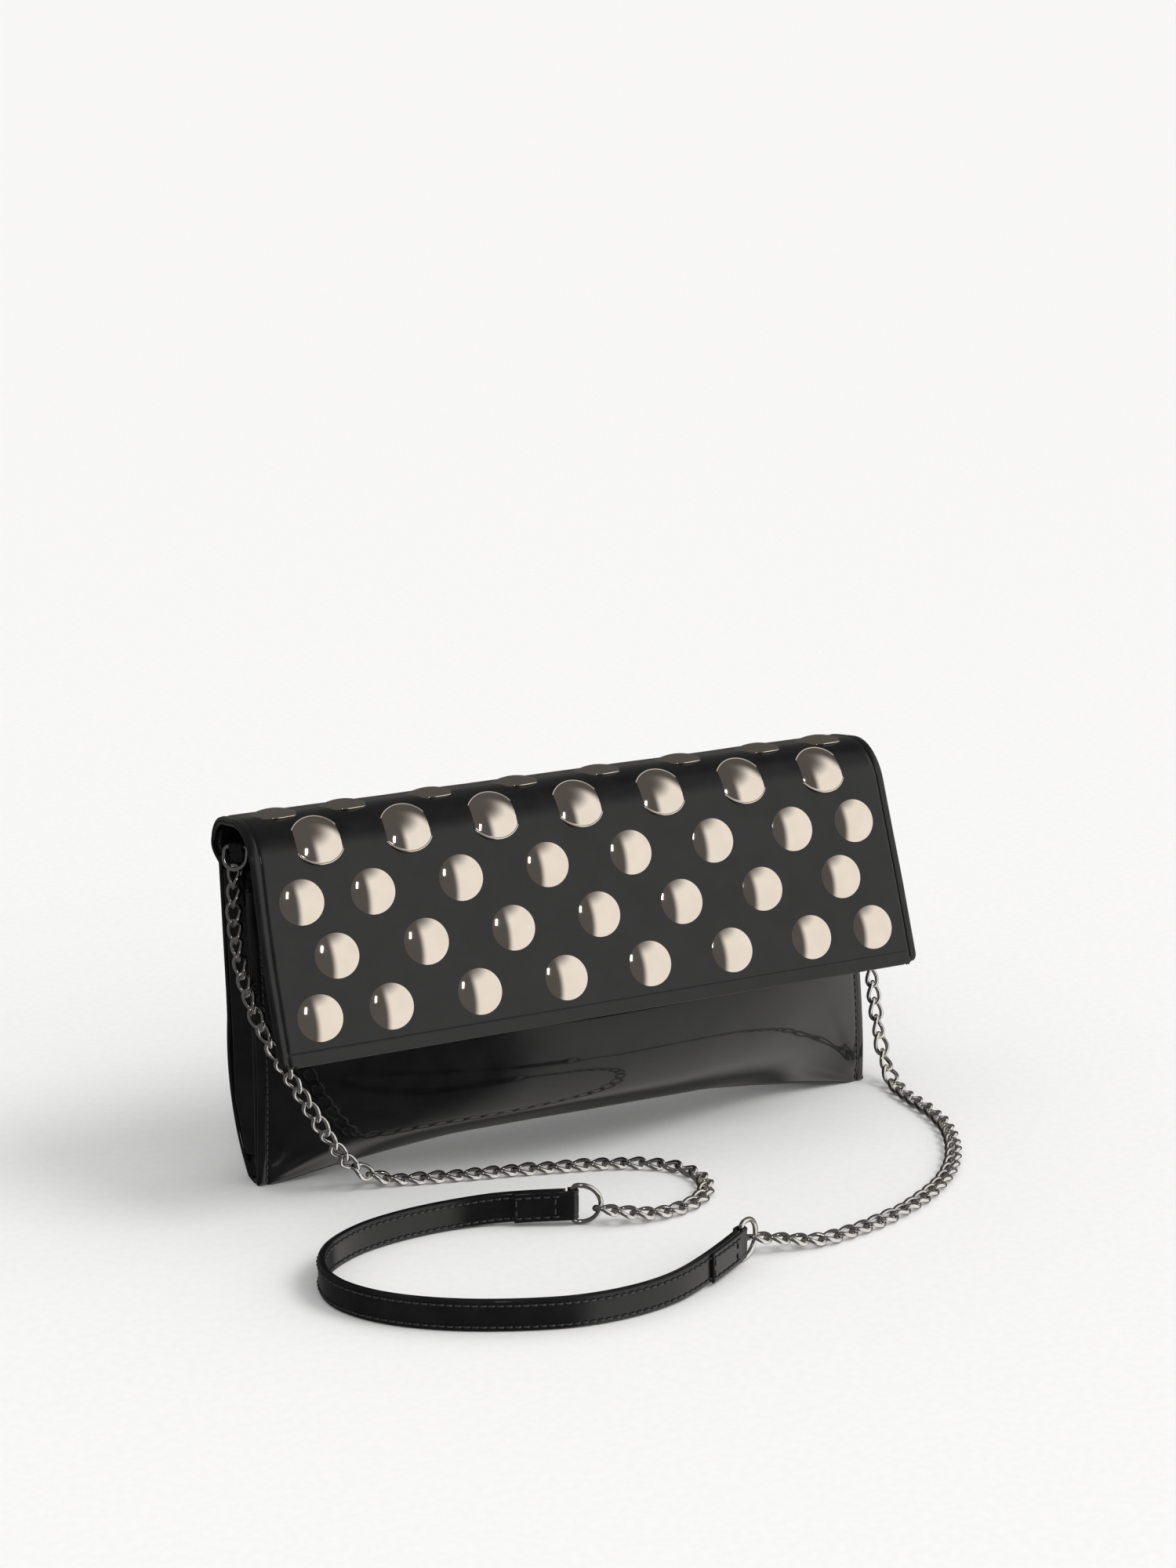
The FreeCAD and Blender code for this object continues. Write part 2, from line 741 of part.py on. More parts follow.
def make_tube(name, points):
    """The outer size of a hanging or lying chain, as a plain round tube."""
    path, radii = rounded_path(points)
    radius = size["chain_diameter"].value / 2
    heading = Vector(*points[1]) - Vector(*points[0])
    circle = Part.Wire(Part.makeCircle(radius, Vector(*points[0]), heading))
    feature = doc.addObject("Part::Feature", name)
    feature.Shape = path.makePipeShell([circle], True, False)
    report_route(name, path, radii, math.pi * radius ** 2, feature.Shape)
    return keep(feature, name)


def make_band(name, points):
    """The flat strap, swept standing on its edge."""
    path, radii = rounded_path(points)
    half_width = size["strap_width"].value / 2
    half_ply = size["strap_thickness"].value / 2
    start = Vector(*points[0])
    heading = (Vector(*points[1]) - start).normalize()
    across = heading.cross(Z_AXIS).normalize() * half_ply
    up = across.cross(heading).normalize() * half_width
    if up.z < 0:
        up = up * -1
    corners = [start + across + up, start - across + up, start - across - up, start + across - up]
    profile = Part.makePolygon(corners + corners[:1])
    shell = Part.BRepOffsetAPI.MakePipeShell(path)
    shell.setBiNormalMode(Z_AXIS)
    shell.add(profile)
    shell.build()
    shell.makeSolid()
    feature = doc.addObject("Part::Feature", name)
    feature.Shape = shell.shape()
    section = size["strap_width"].value * size["strap_thickness"].value
    report_route(name, path, radii, section, feature.Shape)
    return keep(feature, name)


def ring_shape(bar, reach, wire):
    """A D ring in the XZ plane: its bar stands on Z through the origin, its bow is on +X."""
    half = bar / 2
    corner = wire
    bow = half + wire / 2
    leg = reach - bow
    points = [
        Vector(0, 0, -half + corner), Vector(0, 0, half - corner),
        Vector(corner * (1 - math.cos(math.pi / 4)), 0, half - corner * (1 - math.sin(math.pi / 4))),
        Vector(corner, 0, half),
    ]
    top = Vector(max(leg, corner + 0.2), 0, half)
    bottom = Vector(top.x, 0, -half)
    edges = [
        Part.makeLine(points[0], points[1]),
        Part.Arc(points[1], points[2], points[3]).toShape(),
        Part.makeLine(points[3], top),
        Part.Arc(top, Vector(top.x + half, 0, 0), bottom).toShape(),
        Part.makeLine(bottom, Vector(corner, 0, -half)),
        Part.Arc(Vector(corner, 0, -half), Vector(points[2].x, 0, -points[2].z),
                 points[0]).toShape(),
    ]
    path = Part.Wire(edges)
    circle = Part.Wire(Part.makeCircle(wire / 2, Vector(0, 0, 0), Z_AXIS))
    return path.makePipeShell([circle], True, False)


def make_ring(name, bar, reach, origin, bow_direction, bar_direction):
    """A D ring whose bar runs along one direction and whose bow points along another."""
    feature = doc.addObject("Part::Feature", name)
    feature.Shape = ring_shape(bar.value, reach.value, size["ring_wire"].value)
    side = bar_direction.cross(bow_direction)
    matrix = FreeCAD.Matrix(
        bow_direction.x, side.x, bar_direction.x, origin.x,
        bow_direction.y, side.y, bar_direction.y, origin.y,
        bow_direction.z, side.z, bar_direction.z, origin.z,
        0, 0, 0, 1)
    feature.Placement = FreeCAD.Placement(matrix)
    return keep(feature, name)


def loop_profile(sketch, eye, ply, length):
    """A strip folded round a bar at the origin: two plies that run along +X together."""
    outer = eye + ply
    half = ply
    arc_start = math.asin(half / outer)
    pieces = [
        Part.ArcOfCircle(Part.Circle(Vector(0, 0, 0), Z_AXIS, outer), arc_start,
                         2 * math.pi - arc_start),
        Part.LineSegment(Vector(outer * math.cos(arc_start), -half, 0), Vector(length, -half, 0)),
        Part.LineSegment(Vector(length, -half, 0), Vector(length, half, 0)),
        Part.LineSegment(Vector(length, half, 0), Vector(outer * math.cos(arc_start), half, 0)),
        Part.Circle(Vector(0, 0, 0), Z_AXIS, eye),
    ]
    for piece in pieces:
        sketch.addGeometry(piece, False)
    sketch.addConstraint([Sketcher.Constraint("Block", n) for n in range(len(pieces))])


def make_loop(name, width, ply, length, placement):
    """A leather strip folded round a ring's bar and sewn to itself."""
    body = new_body(name)
    sketch = new_sketch(body, "XY_Plane")
    eye = size["ring_wire"].value / 2 + size["eye_play"].value
    loop_profile(sketch, eye, ply.value, length.value)
    symmetric_pad(body, sketch, width)
    body.Placement = placement
    return keep(body, name)


def frame_from(origin, x_direction, z_direction):
    y_direction = z_direction.cross(x_direction)
    return FreeCAD.Placement(FreeCAD.Matrix(
        x_direction.x, y_direction.x, z_direction.x, origin.x,
        x_direction.y, y_direction.y, z_direction.y, origin.y,
        x_direction.z, y_direction.z, z_direction.z, origin.z,
        0, 0, 0, 1))


def gusset_face(side):
    """The direction along the top of a gusset's rear half, outwards, and its outer normal."""
    rim = size["body_width"].value / 2 - size["gusset_reach"].value
    run = rim - size["gusset_fold_top"].value
    rise = (size["gusset_back_top"].value - size["gusset_front_top"].value) / 2
    along = Vector(side * run, rise, 0).normalize()
    outward = Vector(side * along.y, -abs(along.x), 0)
    return Vector(side * rim, size["gusset_back_top"].value, 0), along, outward


def make_anchor(side, word):
    """A tab sewn to the gusset's rear half, and the ring that swings in its fold."""
    rim, along, outward = gusset_face(side)
    stand_off = size["tab_ply"].value + size["tab_setback"].value
    origin = rim - along * size["anchor_inset"].value + outward * stand_off
    origin.z = size["anchor_z"].value
    droop = math.radians(size["anchor_droop"].value)
    bow = outward * math.cos(droop) - Z_AXIS * math.sin(droop)
    make_ring(f"anchor_ring_{word}", size["anchor_bar_length"], size["anchor_reach"],
              origin, bow, along)
    length = size["anchor_z"] - size["tab_low"]
    placement = frame_from(origin, Z_AXIS * -1, along)
    make_loop(f"anchor_tab_{word}", size["tab_width"], size["tab_ply"], length, placement)
    print(f"anchor_ring_{word}: bar through {origin}, along {along}, bow towards {bow}")


def lap_profile(sketch, eye, ply, band, length):
    """The strap's end ply: round a bar at the origin, then flat along one face of the strap."""
    outer = eye + ply
    inside = band / 2 + size["lap_play"].value
    lap_start = math.asin(inside / outer)
    start = Vector(0, outer, 0)
    corner = Vector(outer * math.cos(lap_start), inside, 0)
    pieces = [
        Part.ArcOfCircle(Part.Circle(Vector(0, 0, 0), Z_AXIS, outer), math.pi / 2,
                         2 * math.pi + lap_start),
        Part.LineSegment(corner, Vector(length, inside, 0)),
        Part.LineSegment(Vector(length, inside, 0), Vector(length, outer, 0)),
        Part.LineSegment(Vector(length, outer, 0), start),
        Part.Circle(Vector(0, 0, 0), Z_AXIS, eye),
    ]
    for piece in pieces:
        sketch.addGeometry(piece, False)
    sketch.addConstraint([Sketcher.Constraint("Block", n) for n in range(len(pieces))])


def make_strap_end(word, tip, before):
    """The strap's end folded over a ring's bar and lapped back, with its ring."""
    end = Vector(*tip)
    inward = Vector(*before) - end
    inward = Vector(inward.x, inward.y, 0).normalize()
    eye = size["ring_wire"].value / 2 + size["eye_play"].value
    bar = end - inward * (eye + size["lap_ply"].value + size["lap_play"].value)
    make_ring(f"strap_ring_{word}", size["strap_ring_bar"], size["strap_ring_reach"],
              bar, inward * -1, Z_AXIS)
    body = new_body(f"strap_end_{word}")
    sketch = new_sketch(body, "XY_Plane")
    lap_profile(sketch, eye, size["lap_ply"].value, size["strap_thickness"].value,
                size["lap_length"].value)
    symmetric_pad(body, sketch, size["strap_width"])
    body.Placement = frame_from(bar, inward, Z_AXIS)
    keep(body, f"strap_end_{word}")


# ---------------------------------------------------------------- assembly

def build_flap():
    cover_in = size["cover_thickness"]
    board_out = cover_in
    board_in = board_out + size["board_thickness"]
    lining_in = board_in + size["lining_thickness"]
    rows = range(ROWS)
    margin = size["board_margin"]
    cover = flap_layer("flap_cover_sheet", Size(0), cover_in, size["flap_width"])
    board = flap_layer("flap_board_sheet", board_out, board_in, size["flap_width"] - margin)
    lining = flap_layer("flap_lining_sheet", board_in, lining_in, size["flap_width"])
    stud = stud_shape()
    back = Part.makeCylinder(size["stud_back_radius"].value, size["stud_back_thickness"].value)
    back = back.cut(Part.makeCylinder(size["post_radius"].value, back.BoundBox.ZMax))
    under = cover_in.value + size["stud_back_thickness"].value
    cover_cutters = row_holes(size["post_hole"].value, rows)
    for row in rows:
        keep(placed_row(f"studs_{row}", stud, row), f"studs_row_{row + 1}")
        backs = placed_row(f"stud_backs_{row}", back, row, under)
        keep(backs, f"stud_backs_row_{row + 1}")
        cover_cutters += backs.Shape.Solids
    keep(cut_away("flap_cover", cover, cover_cutters), "flap_cover")
    place, outward = snap_line()
    washer_radius = size["snap_radius"].value + size["washer_play"].value
    through = size["cutter_length"].value
    washer_hole = Part.makeCylinder(washer_radius, through, place - outward * through, outward)
    board_cutters = row_holes(size["stud_back_hole"].value, rows) + [washer_hole]
    keep(cut_away("flap_board", board, board_cutters), "flap_board")
    lining_hole = Part.makeCylinder(size["stem_hole"].value, through,
                                    place - outward * through, outward)
    keep(cut_away("flap_lining", lining, [lining_hole]), "flap_lining")


def build_snap():
    """The plug on the flap, the magnet and its socket on the front panel, and two washers."""
    cover_in = size["cover_thickness"].value
    flap_in = cover_in + size["board_thickness"].value + size["lining_thickness"].value
    plug = disc("plug_plate", size["snap_radius"], size["plug_thickness"], flap_in)
    plug_in = flap_in + size["plug_thickness"].value
    nib = disc("plug_nib", size["nib_radius"], size["nib_length"], plug_in)
    stem_out = cover_in + size["washer_thickness"].value
    stem = disc("plug_stem", size["stem_radius"], Size(flap_in - stem_out), stem_out)
    keep(fuse("snap_plug", [plug, nib, stem]), "snap_plug")
    washer = disc("plug_washer", size["snap_radius"], size["washer_thickness"], cover_in)
    keep(washer, "snap_plug_washer")

    play = size["snap_play"]
    socket_out = plug_in + size["snap_gap"].value
    socket_in = socket_out + size["socket_thickness"].value
    cavity_out = socket_out + size["socket_wall"].value
    wall = size["socket_wall"]
    shell = disc("socket_shell", size["snap_radius"], size["socket_thickness"], socket_out,
                 size["socket_hole"])
    cavity = disc("socket_cavity", size["magnet_radius"] + play * 2,
                  size["magnet_thickness"] + play * 2, cavity_out, size["socket_hole"] + wall)
    hollow = doc.addObject("Part::Cut", "socket_hollow")
    hollow.Base = shell
    hollow.Tool = cavity
    keep(hollow, "snap_socket")
    magnet = disc("magnet", size["magnet_radius"], size["magnet_thickness"],
                  cavity_out + play.value, size["socket_hole"] + wall + play * 2)
    keep(magnet, "snap_magnet")
    washer_out = socket_in + size["panel_thickness"].value + size["washer_setback"].value
    washer = disc("socket_washer", size["snap_radius"], size["washer_thickness"], washer_out)
    post = disc("socket_post", size["post_radius"], Size(washer_out - socket_in), socket_in)
    keep(fuse("snap_socket_washer", [washer, post]), "snap_socket_washer")


def build_body():
    none = Size(0)
    thick = size["panel_thickness"]
    gap = size["layer_gap"]
    board_out = thick + gap
    board_in = board_out + size["board_thickness"]
    lining_out = board_in + gap
    lining_in = lining_out + size["lining_thickness"]
    low = size["stiffener_low"]
    high = size["stiffener_high"]
    place, outward = snap_line()
    through = size["cutter_length"].value * 2
    start = place - outward * through
    washer_radius = size["snap_radius"].value + size["washer_play"].value
    width = size["body_width"].value
    under_floor = Part.makeBox(width, width, through, Vector(-width / 2, -width / 2, -through))
    for side, word in ((-1, "front"), (1, "back")):
        panel = panel_layer(f"{word}_sheet", side, none, thick)
        board = trimmed_layer(f"{word}_board_sheet", side, board_out, board_in,
                              size["stiffener_width"], low, high)
        panel = cut_away(f"{word}_panel_floor", panel, [under_floor])
        if word == "front":
            post_hole = Part.makeCylinder(size["post_hole"].value, through, start, outward)
            washer_hole = Part.makeCylinder(washer_radius, through, start, outward)
            panel = cut_away("front_panel", panel, [post_hole])
            board = cut_away("front_board", board, [washer_hole])
        keep(panel, f"{word}_panel")
        keep(board, f"{word}_board")
        lining = trimmed_layer(f"{word}_lining_sheet", side, lining_out, lining_in,
                               size["lining_width"], none, size["crown_front_z"])
        keep(lining, f"{word}_lining")
    pocket_out = lining_in + gap
    pocket = trimmed_layer("pocket_sheet", 1, pocket_out, pocket_out + size["lining_thickness"],
                           size["pocket_width"], size["pocket_low"], size["pocket_high"])
    keep(pocket, "slip_pocket")
    make_gusset("gusset_left", -1)
    make_gusset("gusset_right", 1)


def build_strip():
    """The strip below the hinge that is sewn to the top of the back panel."""
    thick = size["strip_thickness"]
    inside = size["hinge_y"] - thick - size["strip_setback"]
    strip = new_box("strip", size["strip_width"], inside, inside + thick,
                    size["strip_low"], size["hinge_z"] - size["strip_setback"] * 2)
    keep(strip, "flap_back_strip")


def main():
    build_body()
    build_strip()
    build_flap()
    build_snap()
    for side, word in ((-1, "left"), (1, "right")):
        make_anchor(side, word)
    for word, tip, before in (("left", STRAP[0], STRAP[1]), ("right", STRAP[-1], STRAP[-2])):
        make_strap_end(word, tip, before)
    make_tube("chain_left", CHAIN_LEFT)
    make_band("strap", STRAP)
    make_tube("chain_right", CHAIN_RIGHT)
    doc.recompute()
    export()


def export():
    for feature in doc.Objects:
        if any(word in feature.State for word in ("Invalid", "Error")):
            raise RuntimeError(f"{feature.Label}: {feature.State}")
    os.makedirs("parts", exist_ok=True)
    whole = FreeCAD.BoundBox()
    for feature in sub_parts:
        shape = feature.Shape
        if shape.isNull() or not shape.isValid():
            raise RuntimeError(f"{feature.Label}: bad shape")
        box = shape.optimalBoundingBox(False)
        print(f"{feature.Label}: {len(shape.Solids)} solids, {shape.Volume / 1000:.2f} cm3, "
              f"x {box.XMin:.1f} {box.XMax:.1f}, y {box.YMin:.1f} {box.YMax:.1f}, "
              f"z {box.ZMin:.1f} {box.ZMax:.1f}")
        if not feature.Label.startswith(("chain", "strap")):
            whole.add(box)
        shape.exportStep(f"parts/{feature.Label}.step")
    print(f"bag without its cord: x {whole.XMin:.2f} {whole.XMax:.2f}, "
          f"y {whole.YMin:.2f} {whole.YMax:.2f}, z {whole.ZMin:.2f} {whole.ZMax:.2f}")


main()
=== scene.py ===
"""The looks of a studded flap clutch with its chain and leather shoulder strap."""

import math

import bpy
import numpy as np
from mathutils import Matrix, Vector


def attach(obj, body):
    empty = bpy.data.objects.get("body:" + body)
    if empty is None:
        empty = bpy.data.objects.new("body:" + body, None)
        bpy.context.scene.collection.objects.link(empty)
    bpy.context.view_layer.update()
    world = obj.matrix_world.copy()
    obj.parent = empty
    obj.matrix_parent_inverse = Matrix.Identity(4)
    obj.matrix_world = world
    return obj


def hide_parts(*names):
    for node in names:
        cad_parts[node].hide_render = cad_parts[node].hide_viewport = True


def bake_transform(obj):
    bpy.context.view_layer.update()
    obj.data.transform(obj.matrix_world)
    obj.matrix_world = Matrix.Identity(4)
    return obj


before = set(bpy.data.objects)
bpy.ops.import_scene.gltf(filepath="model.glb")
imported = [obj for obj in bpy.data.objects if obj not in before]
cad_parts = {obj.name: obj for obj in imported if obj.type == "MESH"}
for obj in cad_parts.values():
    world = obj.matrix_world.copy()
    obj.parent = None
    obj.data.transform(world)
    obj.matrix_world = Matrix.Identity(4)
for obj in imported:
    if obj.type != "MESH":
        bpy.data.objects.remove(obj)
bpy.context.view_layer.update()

MM = 0.001

# ---- sizes, in millimetres, with +X across, +Y to the back and +Z up
FLAP_HALF = 136.0
FLAP_CORNERS = [(-39.3, 66.5), (-2.9, 150.1), (39.3, 141.3), (39.3, 127.0), (39.0, 106.0)]
FLAP_BENDS = [20.0, 16.0, 30.0]
FLAP_CORNER_RADIUS = 3.5
LEATHER = 1.5
BODY_HALF = 132.0
PANEL = 2.0
STITCH_PITCH = 3.0
STITCH_LENGTH = 2.3
STITCH_RADIUS = 0.40
SIDE_STITCH = 2.6
END_STITCH = 4.6
STUD_RADIUS = 10.7
STUD_RISE = 3.5
STUD_RIM = 0.5
STUD_PITCH = 36.0
END_PITCH = 28.2
FIRST_ROW = 16.4
ROW_PITCH = 22.1
ROWS = 5
LINK_PITCH = 7.3
LINK_LENGTH = 10.8
LINK_WIDTH = 7.0
LINK_WIRE = 1.75
LINING_HALF = 110.0
LINING_DEPTH = 3.4
CLOTH = 0.5
STIFFENER_HALF = 114.0
STIFFENER_DEPTH = 2.15
STIFFENER = 1.0
POCKET_HALF = 65.0
POCKET_DEPTH = 4.3
FACING = 1.45
PANEL_STITCH = 3.0
STRAP_WIDTH = 12.0
STRAP_THICKNESS = 2.8
STRAP_EDGE_STITCH = 1.9
RING_WIRE = 2.0

CHAIN_LEFT = [
    (-130.6, 26.9, 120.6), (-133.4, 21.2, 108.5), (-136.0, 8.5, 93.0), (-136.0, -6.5, 77.5),
    (-130.6, -15.2, 62.5), (-123.0, -15.6, 48.5), (-115.8, -16.8, 34.5), (-108.8, -16.6, 21.5),
    (-99.5, -14.6, 9.6), (-85.5, -15.2, 3.9), (-71.0, -19.0, 3.6), (-55.0, -23.0, 3.6),
    (-37.0, -26.8, 3.6), (-20.0, -31.4, 3.6), (-4.0, -35.6, 3.6), (10.0, -41.4, 3.6),
    (21.6, -49.4, 3.6), (26.8, -62.2, 3.6), (23.2, -75.8, 3.6), (11.4, -85.0, 3.6),
    (-3.6, -87.8, 4.0), (-16.0, -86.6, 6.0), (-24.4, -83.4, 7.4),
]
STRAP = [
    (-38.0, -76.6, 8.5), (-57.0, -67.4, 7.6), (-78.0, -62.0, 6.0), (-100.0, -62.6, 6.0),
    (-121.0, -67.5, 6.0), (-138.5, -80.0, 6.0), (-144.0, -100.5, 6.0), (-135.0, -119.5, 6.0),
    (-116.5, -135.5, 6.0), (-92.0, -148.0, 6.0), (-65.0, -156.5, 6.0), (-36.0, -155.5, 6.0),
    (-14.0, -147.0, 7.4), (4.0, -135.8, 8.5),
]
CHAIN_RIGHT = [
    (16.2, -129.6, 7.4), (26.0, -131.6, 6.2), (39.0, -134.0, 3.9), (55.0, -131.6, 3.6),
    (72.0, -127.4, 3.6), (89.0, -120.2, 3.6), (105.5, -110.2, 3.6), (120.0, -97.0, 3.6),
    (131.5, -80.0, 3.6), (139.2, -62.0, 3.6), (141.6, -44.0, 3.6), (140.4, -27.5, 3.6),
    (142.0, -13.0, 4.2), (143.6, -1.5, 12.6), (143.4, 4.0, 27.0), (142.4, 7.0, 45.0),
    (140.6, 11.5, 66.0), (137.8, 17.5, 88.0), (133.8, 22.6, 106.0), (130.6, 26.9, 120.6),
]


# ---- materials

def new_material(name):
    material = bpy.data.materials.new(name)
    material.use_nodes = True
    tree = material.node_tree
    shader = tree.nodes["Principled BSDF"]
    place = tree.nodes.new("ShaderNodeTexCoord")
    return material, tree, shader, place.outputs["Object"]


def add_noise(tree, place, scale, detail=2.0):
    noise = tree.nodes.new("ShaderNodeTexNoise")
    noise.inputs["Scale"].default_value = scale
    noise.inputs["Detail"].default_value = detail
    tree.links.new(place, noise.inputs["Vector"])
    return noise.outputs["Fac"]


def add_bump(tree, height, strength, distance, below=None):
    bump = tree.nodes.new("ShaderNodeBump")
    bump.inputs["Strength"].default_value = strength
    bump.inputs["Distance"].default_value = distance
    tree.links.new(height, bump.inputs["Height"])
    if below is not None:
        tree.links.new(below, bump.inputs["Normal"])
    return bump.outputs["Normal"]


def add_ramp(tree, value, low, high):
    ramp = tree.nodes.new("ShaderNodeMapRange")
    ramp.inputs["From Min"].default_value = 0.35
    ramp.inputs["From Max"].default_value = 0.65
    ramp.inputs["To Min"].default_value = low
    ramp.inputs["To Max"].default_value = high
    tree.links.new(value, ramp.inputs["Value"])
    return ramp.outputs["Result"]


def add_tones(tree, value, dark, light):
    tones = tree.nodes.new("ShaderNodeValToRGB")
    tones.color_ramp.elements[0].position = 0.35
    tones.color_ramp.elements[0].color = (*dark, 1)
    tones.color_ramp.elements[1].position = 0.65
    tones.color_ramp.elements[1].color = (*light, 1)
    tree.links.new(value, tones.inputs["Fac"])
    return tones.outputs["Color"]


def patent_leather():
    material, tree, shader, place = new_material("patent_leather")
    swell = add_noise(tree, place, 38.0, 1.0)
    peel = add_noise(tree, place, 420.0, 2.0)
    patch = add_noise(tree, place, 90.0, 3.0)
    base = add_tones(tree, patch, (0.0045, 0.0045, 0.005), (0.008, 0.008, 0.0085))
    tree.links.new(base, shader.inputs["Base Color"])
    tree.links.new(add_ramp(tree, patch, 0.30, 0.42), shader.inputs["Roughness"])
    waves = add_bump(tree, swell, 0.5, 0.0006)
    film = add_bump(tree, peel, 0.12, 0.00006, waves)
    tree.links.new(film, shader.inputs["Normal"])
    tree.links.new(film, shader.inputs["Coat Normal"])
    shader.inputs["Specular IOR Level"].default_value = 0.12
    shader.inputs["Coat Weight"].default_value = 1.0
    shader.inputs["Coat IOR"].default_value = 1.42
    tree.links.new(add_ramp(tree, patch, 0.055, 0.10), shader.inputs["Coat Roughness"])
    return material


def stitching_thread():
    material, tree, shader, place = new_material("thread")
    strands = add_noise(tree, place, 2600.0, 1.0)
    tree.links.new(add_tones(tree, strands, (0.020, 0.020, 0.021), (0.040, 0.040, 0.042)),
                   shader.inputs["Base Color"])
    tree.links.new(add_bump(tree, strands, 0.3, 0.0001), shader.inputs["Normal"])
    shader.inputs["Roughness"].default_value = 0.16
    return material


def lining_cloth():
    material, tree, shader, place = new_material("lining_cloth")
    weave = tree.nodes.new("ShaderNodeTexWave")
    weave.inputs["Scale"].default_value = 700.0
    weave.inputs["Distortion"].default_value = 1.5
    tree.links.new(place, weave.inputs["Vector"])
    shade = add_noise(tree, place, 160.0, 3.0)
    tree.links.new(add_tones(tree, shade, (0.018, 0.018, 0.020), (0.034, 0.034, 0.037)),
                   shader.inputs["Base Color"])
    tree.links.new(add_bump(tree, weave.outputs["Fac"], 0.35, 0.00015), shader.inputs["Normal"])
    shader.inputs["Roughness"].default_value = 0.72
    return material


def polished_metal(name, dark, light, roughness):
    material, tree, shader, place = new_material(name)
    cloud = add_noise(tree, place, 120.0, 2.0)
    tree.links.new(add_tones(tree, cloud, dark, light), shader.inputs["Base Color"])
    tree.links.new(add_ramp(tree, cloud, roughness * 0.8, roughness * 1.25),
                   shader.inputs["Roughness"])
    shader.inputs["Metallic"].default_value = 1.0
    return material


def fibre_board():
    material, tree, shader, place = new_material("fibre_board")
    fibres = add_noise(tree, place, 900.0, 4.0)
    tree.links.new(add_tones(tree, fibres, (0.30, 0.25, 0.19), (0.48, 0.41, 0.33)),
                   shader.inputs["Base Color"])
    tree.links.new(add_bump(tree, fibres, 0.3, 0.0002), shader.inputs["Normal"])
    shader.inputs["Roughness"].default_value = 0.85
    return material


def ferrite():
    material, tree, shader, place = new_material("ferrite")
    grains = add_noise(tree, place, 1400.0, 3.0)
    tree.links.new(add_tones(tree, grains, (0.05, 0.05, 0.052), (0.10, 0.10, 0.10)),
                   shader.inputs["Base Color"])
    shader.inputs["Roughness"].default_value = 0.6
    return material


PATENT = patent_leather()
THREAD = stitching_thread()
LINING = lining_cloth()
STUD_METAL = polished_metal("warm_nickel", (0.86, 0.775, 0.68), (0.90, 0.815, 0.72), 0.07)
CHAIN_METAL = polished_metal("nickel", (0.74, 0.725, 0.705), (0.82, 0.805, 0.785), 0.10)
STEEL = polished_metal("plain_steel", (0.50, 0.49, 0.48), (0.62, 0.61, 0.60), 0.30)
BOARD = fibre_board()
FERRITE = ferrite()


# ---- meshes

def make_object(name, points, faces, material, smooth=True):
    """An object from points in millimetres."""
    mesh = bpy.data.meshes.new(name)
    mesh.from_pydata((np.asarray(points, float) * MM).tolist(), [], [list(f) for f in faces])
    mesh.polygons.foreach_set("use_smooth", [smooth] * len(mesh.polygons))
    mesh.update()
    thing = bpy.data.objects.new(name, mesh)
    bpy.context.collection.objects.link(thing)
    mesh.materials.append(material)
    return thing


def finish_piece(thing, body, slot, *nodes):
    """The piece moves with a body and stands for CAD nodes, which it hides; the slot is not used."""
    if body is not None:
        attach(thing, body)
    if nodes:
        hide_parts(*nodes)
    return thing


def unit(vectors):
    return vectors / np.maximum(np.linalg.norm(vectors, axis=-1, keepdims=True), 1e-12)


def smooth_step(low, high, value):
    share = np.clip((value - low) / (high - low), 0, 1)
    return share * share * (3 - 2 * share)


def grid_normals(points, flip=1.0):
    return unit(np.cross(np.gradient(points, axis=0), np.gradient(points, axis=1))) * flip


def grid_faces(rows, columns, start=0):
    faces = []
    for i in range(rows - 1):
        for j in range(columns - 1):
            a = start + i * columns + j
            faces.append((a, a + columns, a + columns + 1, a + 1))
    return faces


def sheet_of(name, points, thickness, material, flip=1.0, round_share=0.42):
    """A closed sheet under a grid of outer points, with its edge rounded over."""
    rows, columns, _ = points.shape
    outward = grid_normals(points, flip)
    inner = points - outward * thickness
    edge = ([(0, j) for j in range(columns)] + [(i, columns - 1) for i in range(1, rows)]
            + [(rows - 1, j) for j in range(columns - 2, -1, -1)]
            + [(i, 0) for i in range(rows - 2, 0, -1)])
    index = np.array([i * columns + j for i, j in edge])
    flat_outer = points.reshape(-1, 3)
    flat_inner = inner.reshape(-1, 3)
    along = np.roll(flat_outer[index], -1, 0) - np.roll(flat_outer[index], 1, 0)
    normal = outward.reshape(-1, 3)[index]
    away = unit(np.cross(along, normal)) * flip
    toward = flat_outer[index] - flat_outer.mean(0)
    away *= np.sign(np.sum(away * toward, axis=1).sum())
    loops = []
    steps = 6
    for k in range(1, steps):
        angle = math.pi * k / steps
        lift = thickness / 2 * (math.cos(angle) - 1)
        reach = thickness * round_share * math.sin(angle)
        loops.append(flat_outer[index] + normal * lift + away * reach)
    total = rows * columns
    every = [flat_outer] + loops + [flat_inner]
    faces = grid_faces(rows, columns)
    last = total + len(index) * len(loops)
    faces += [tuple(reversed(f)) for f in grid_faces(rows, columns, last)]
    rings = [list(index)]
    rings += [list(range(total + k * len(index), total + (k + 1) * len(index)))
              for k in range(len(loops))]
    rings += [list(last + index)]
    for upper, lower in zip(rings, rings[1:]):
        for k in range(len(index)):
            n = (k + 1) % len(index)
            faces.append((upper[k], upper[n], lower[n], lower[k]))
    thing = make_object(name, np.concatenate(every), faces, material)
    face_outwards(thing)
    return thing


def face_outwards(thing):
    import bmesh
    solid = bmesh.new()
    solid.from_mesh(thing.data)
    bmesh.ops.recalc_face_normals(solid, faces=solid.faces)
    solid.to_mesh(thing.data)
    solid.free()


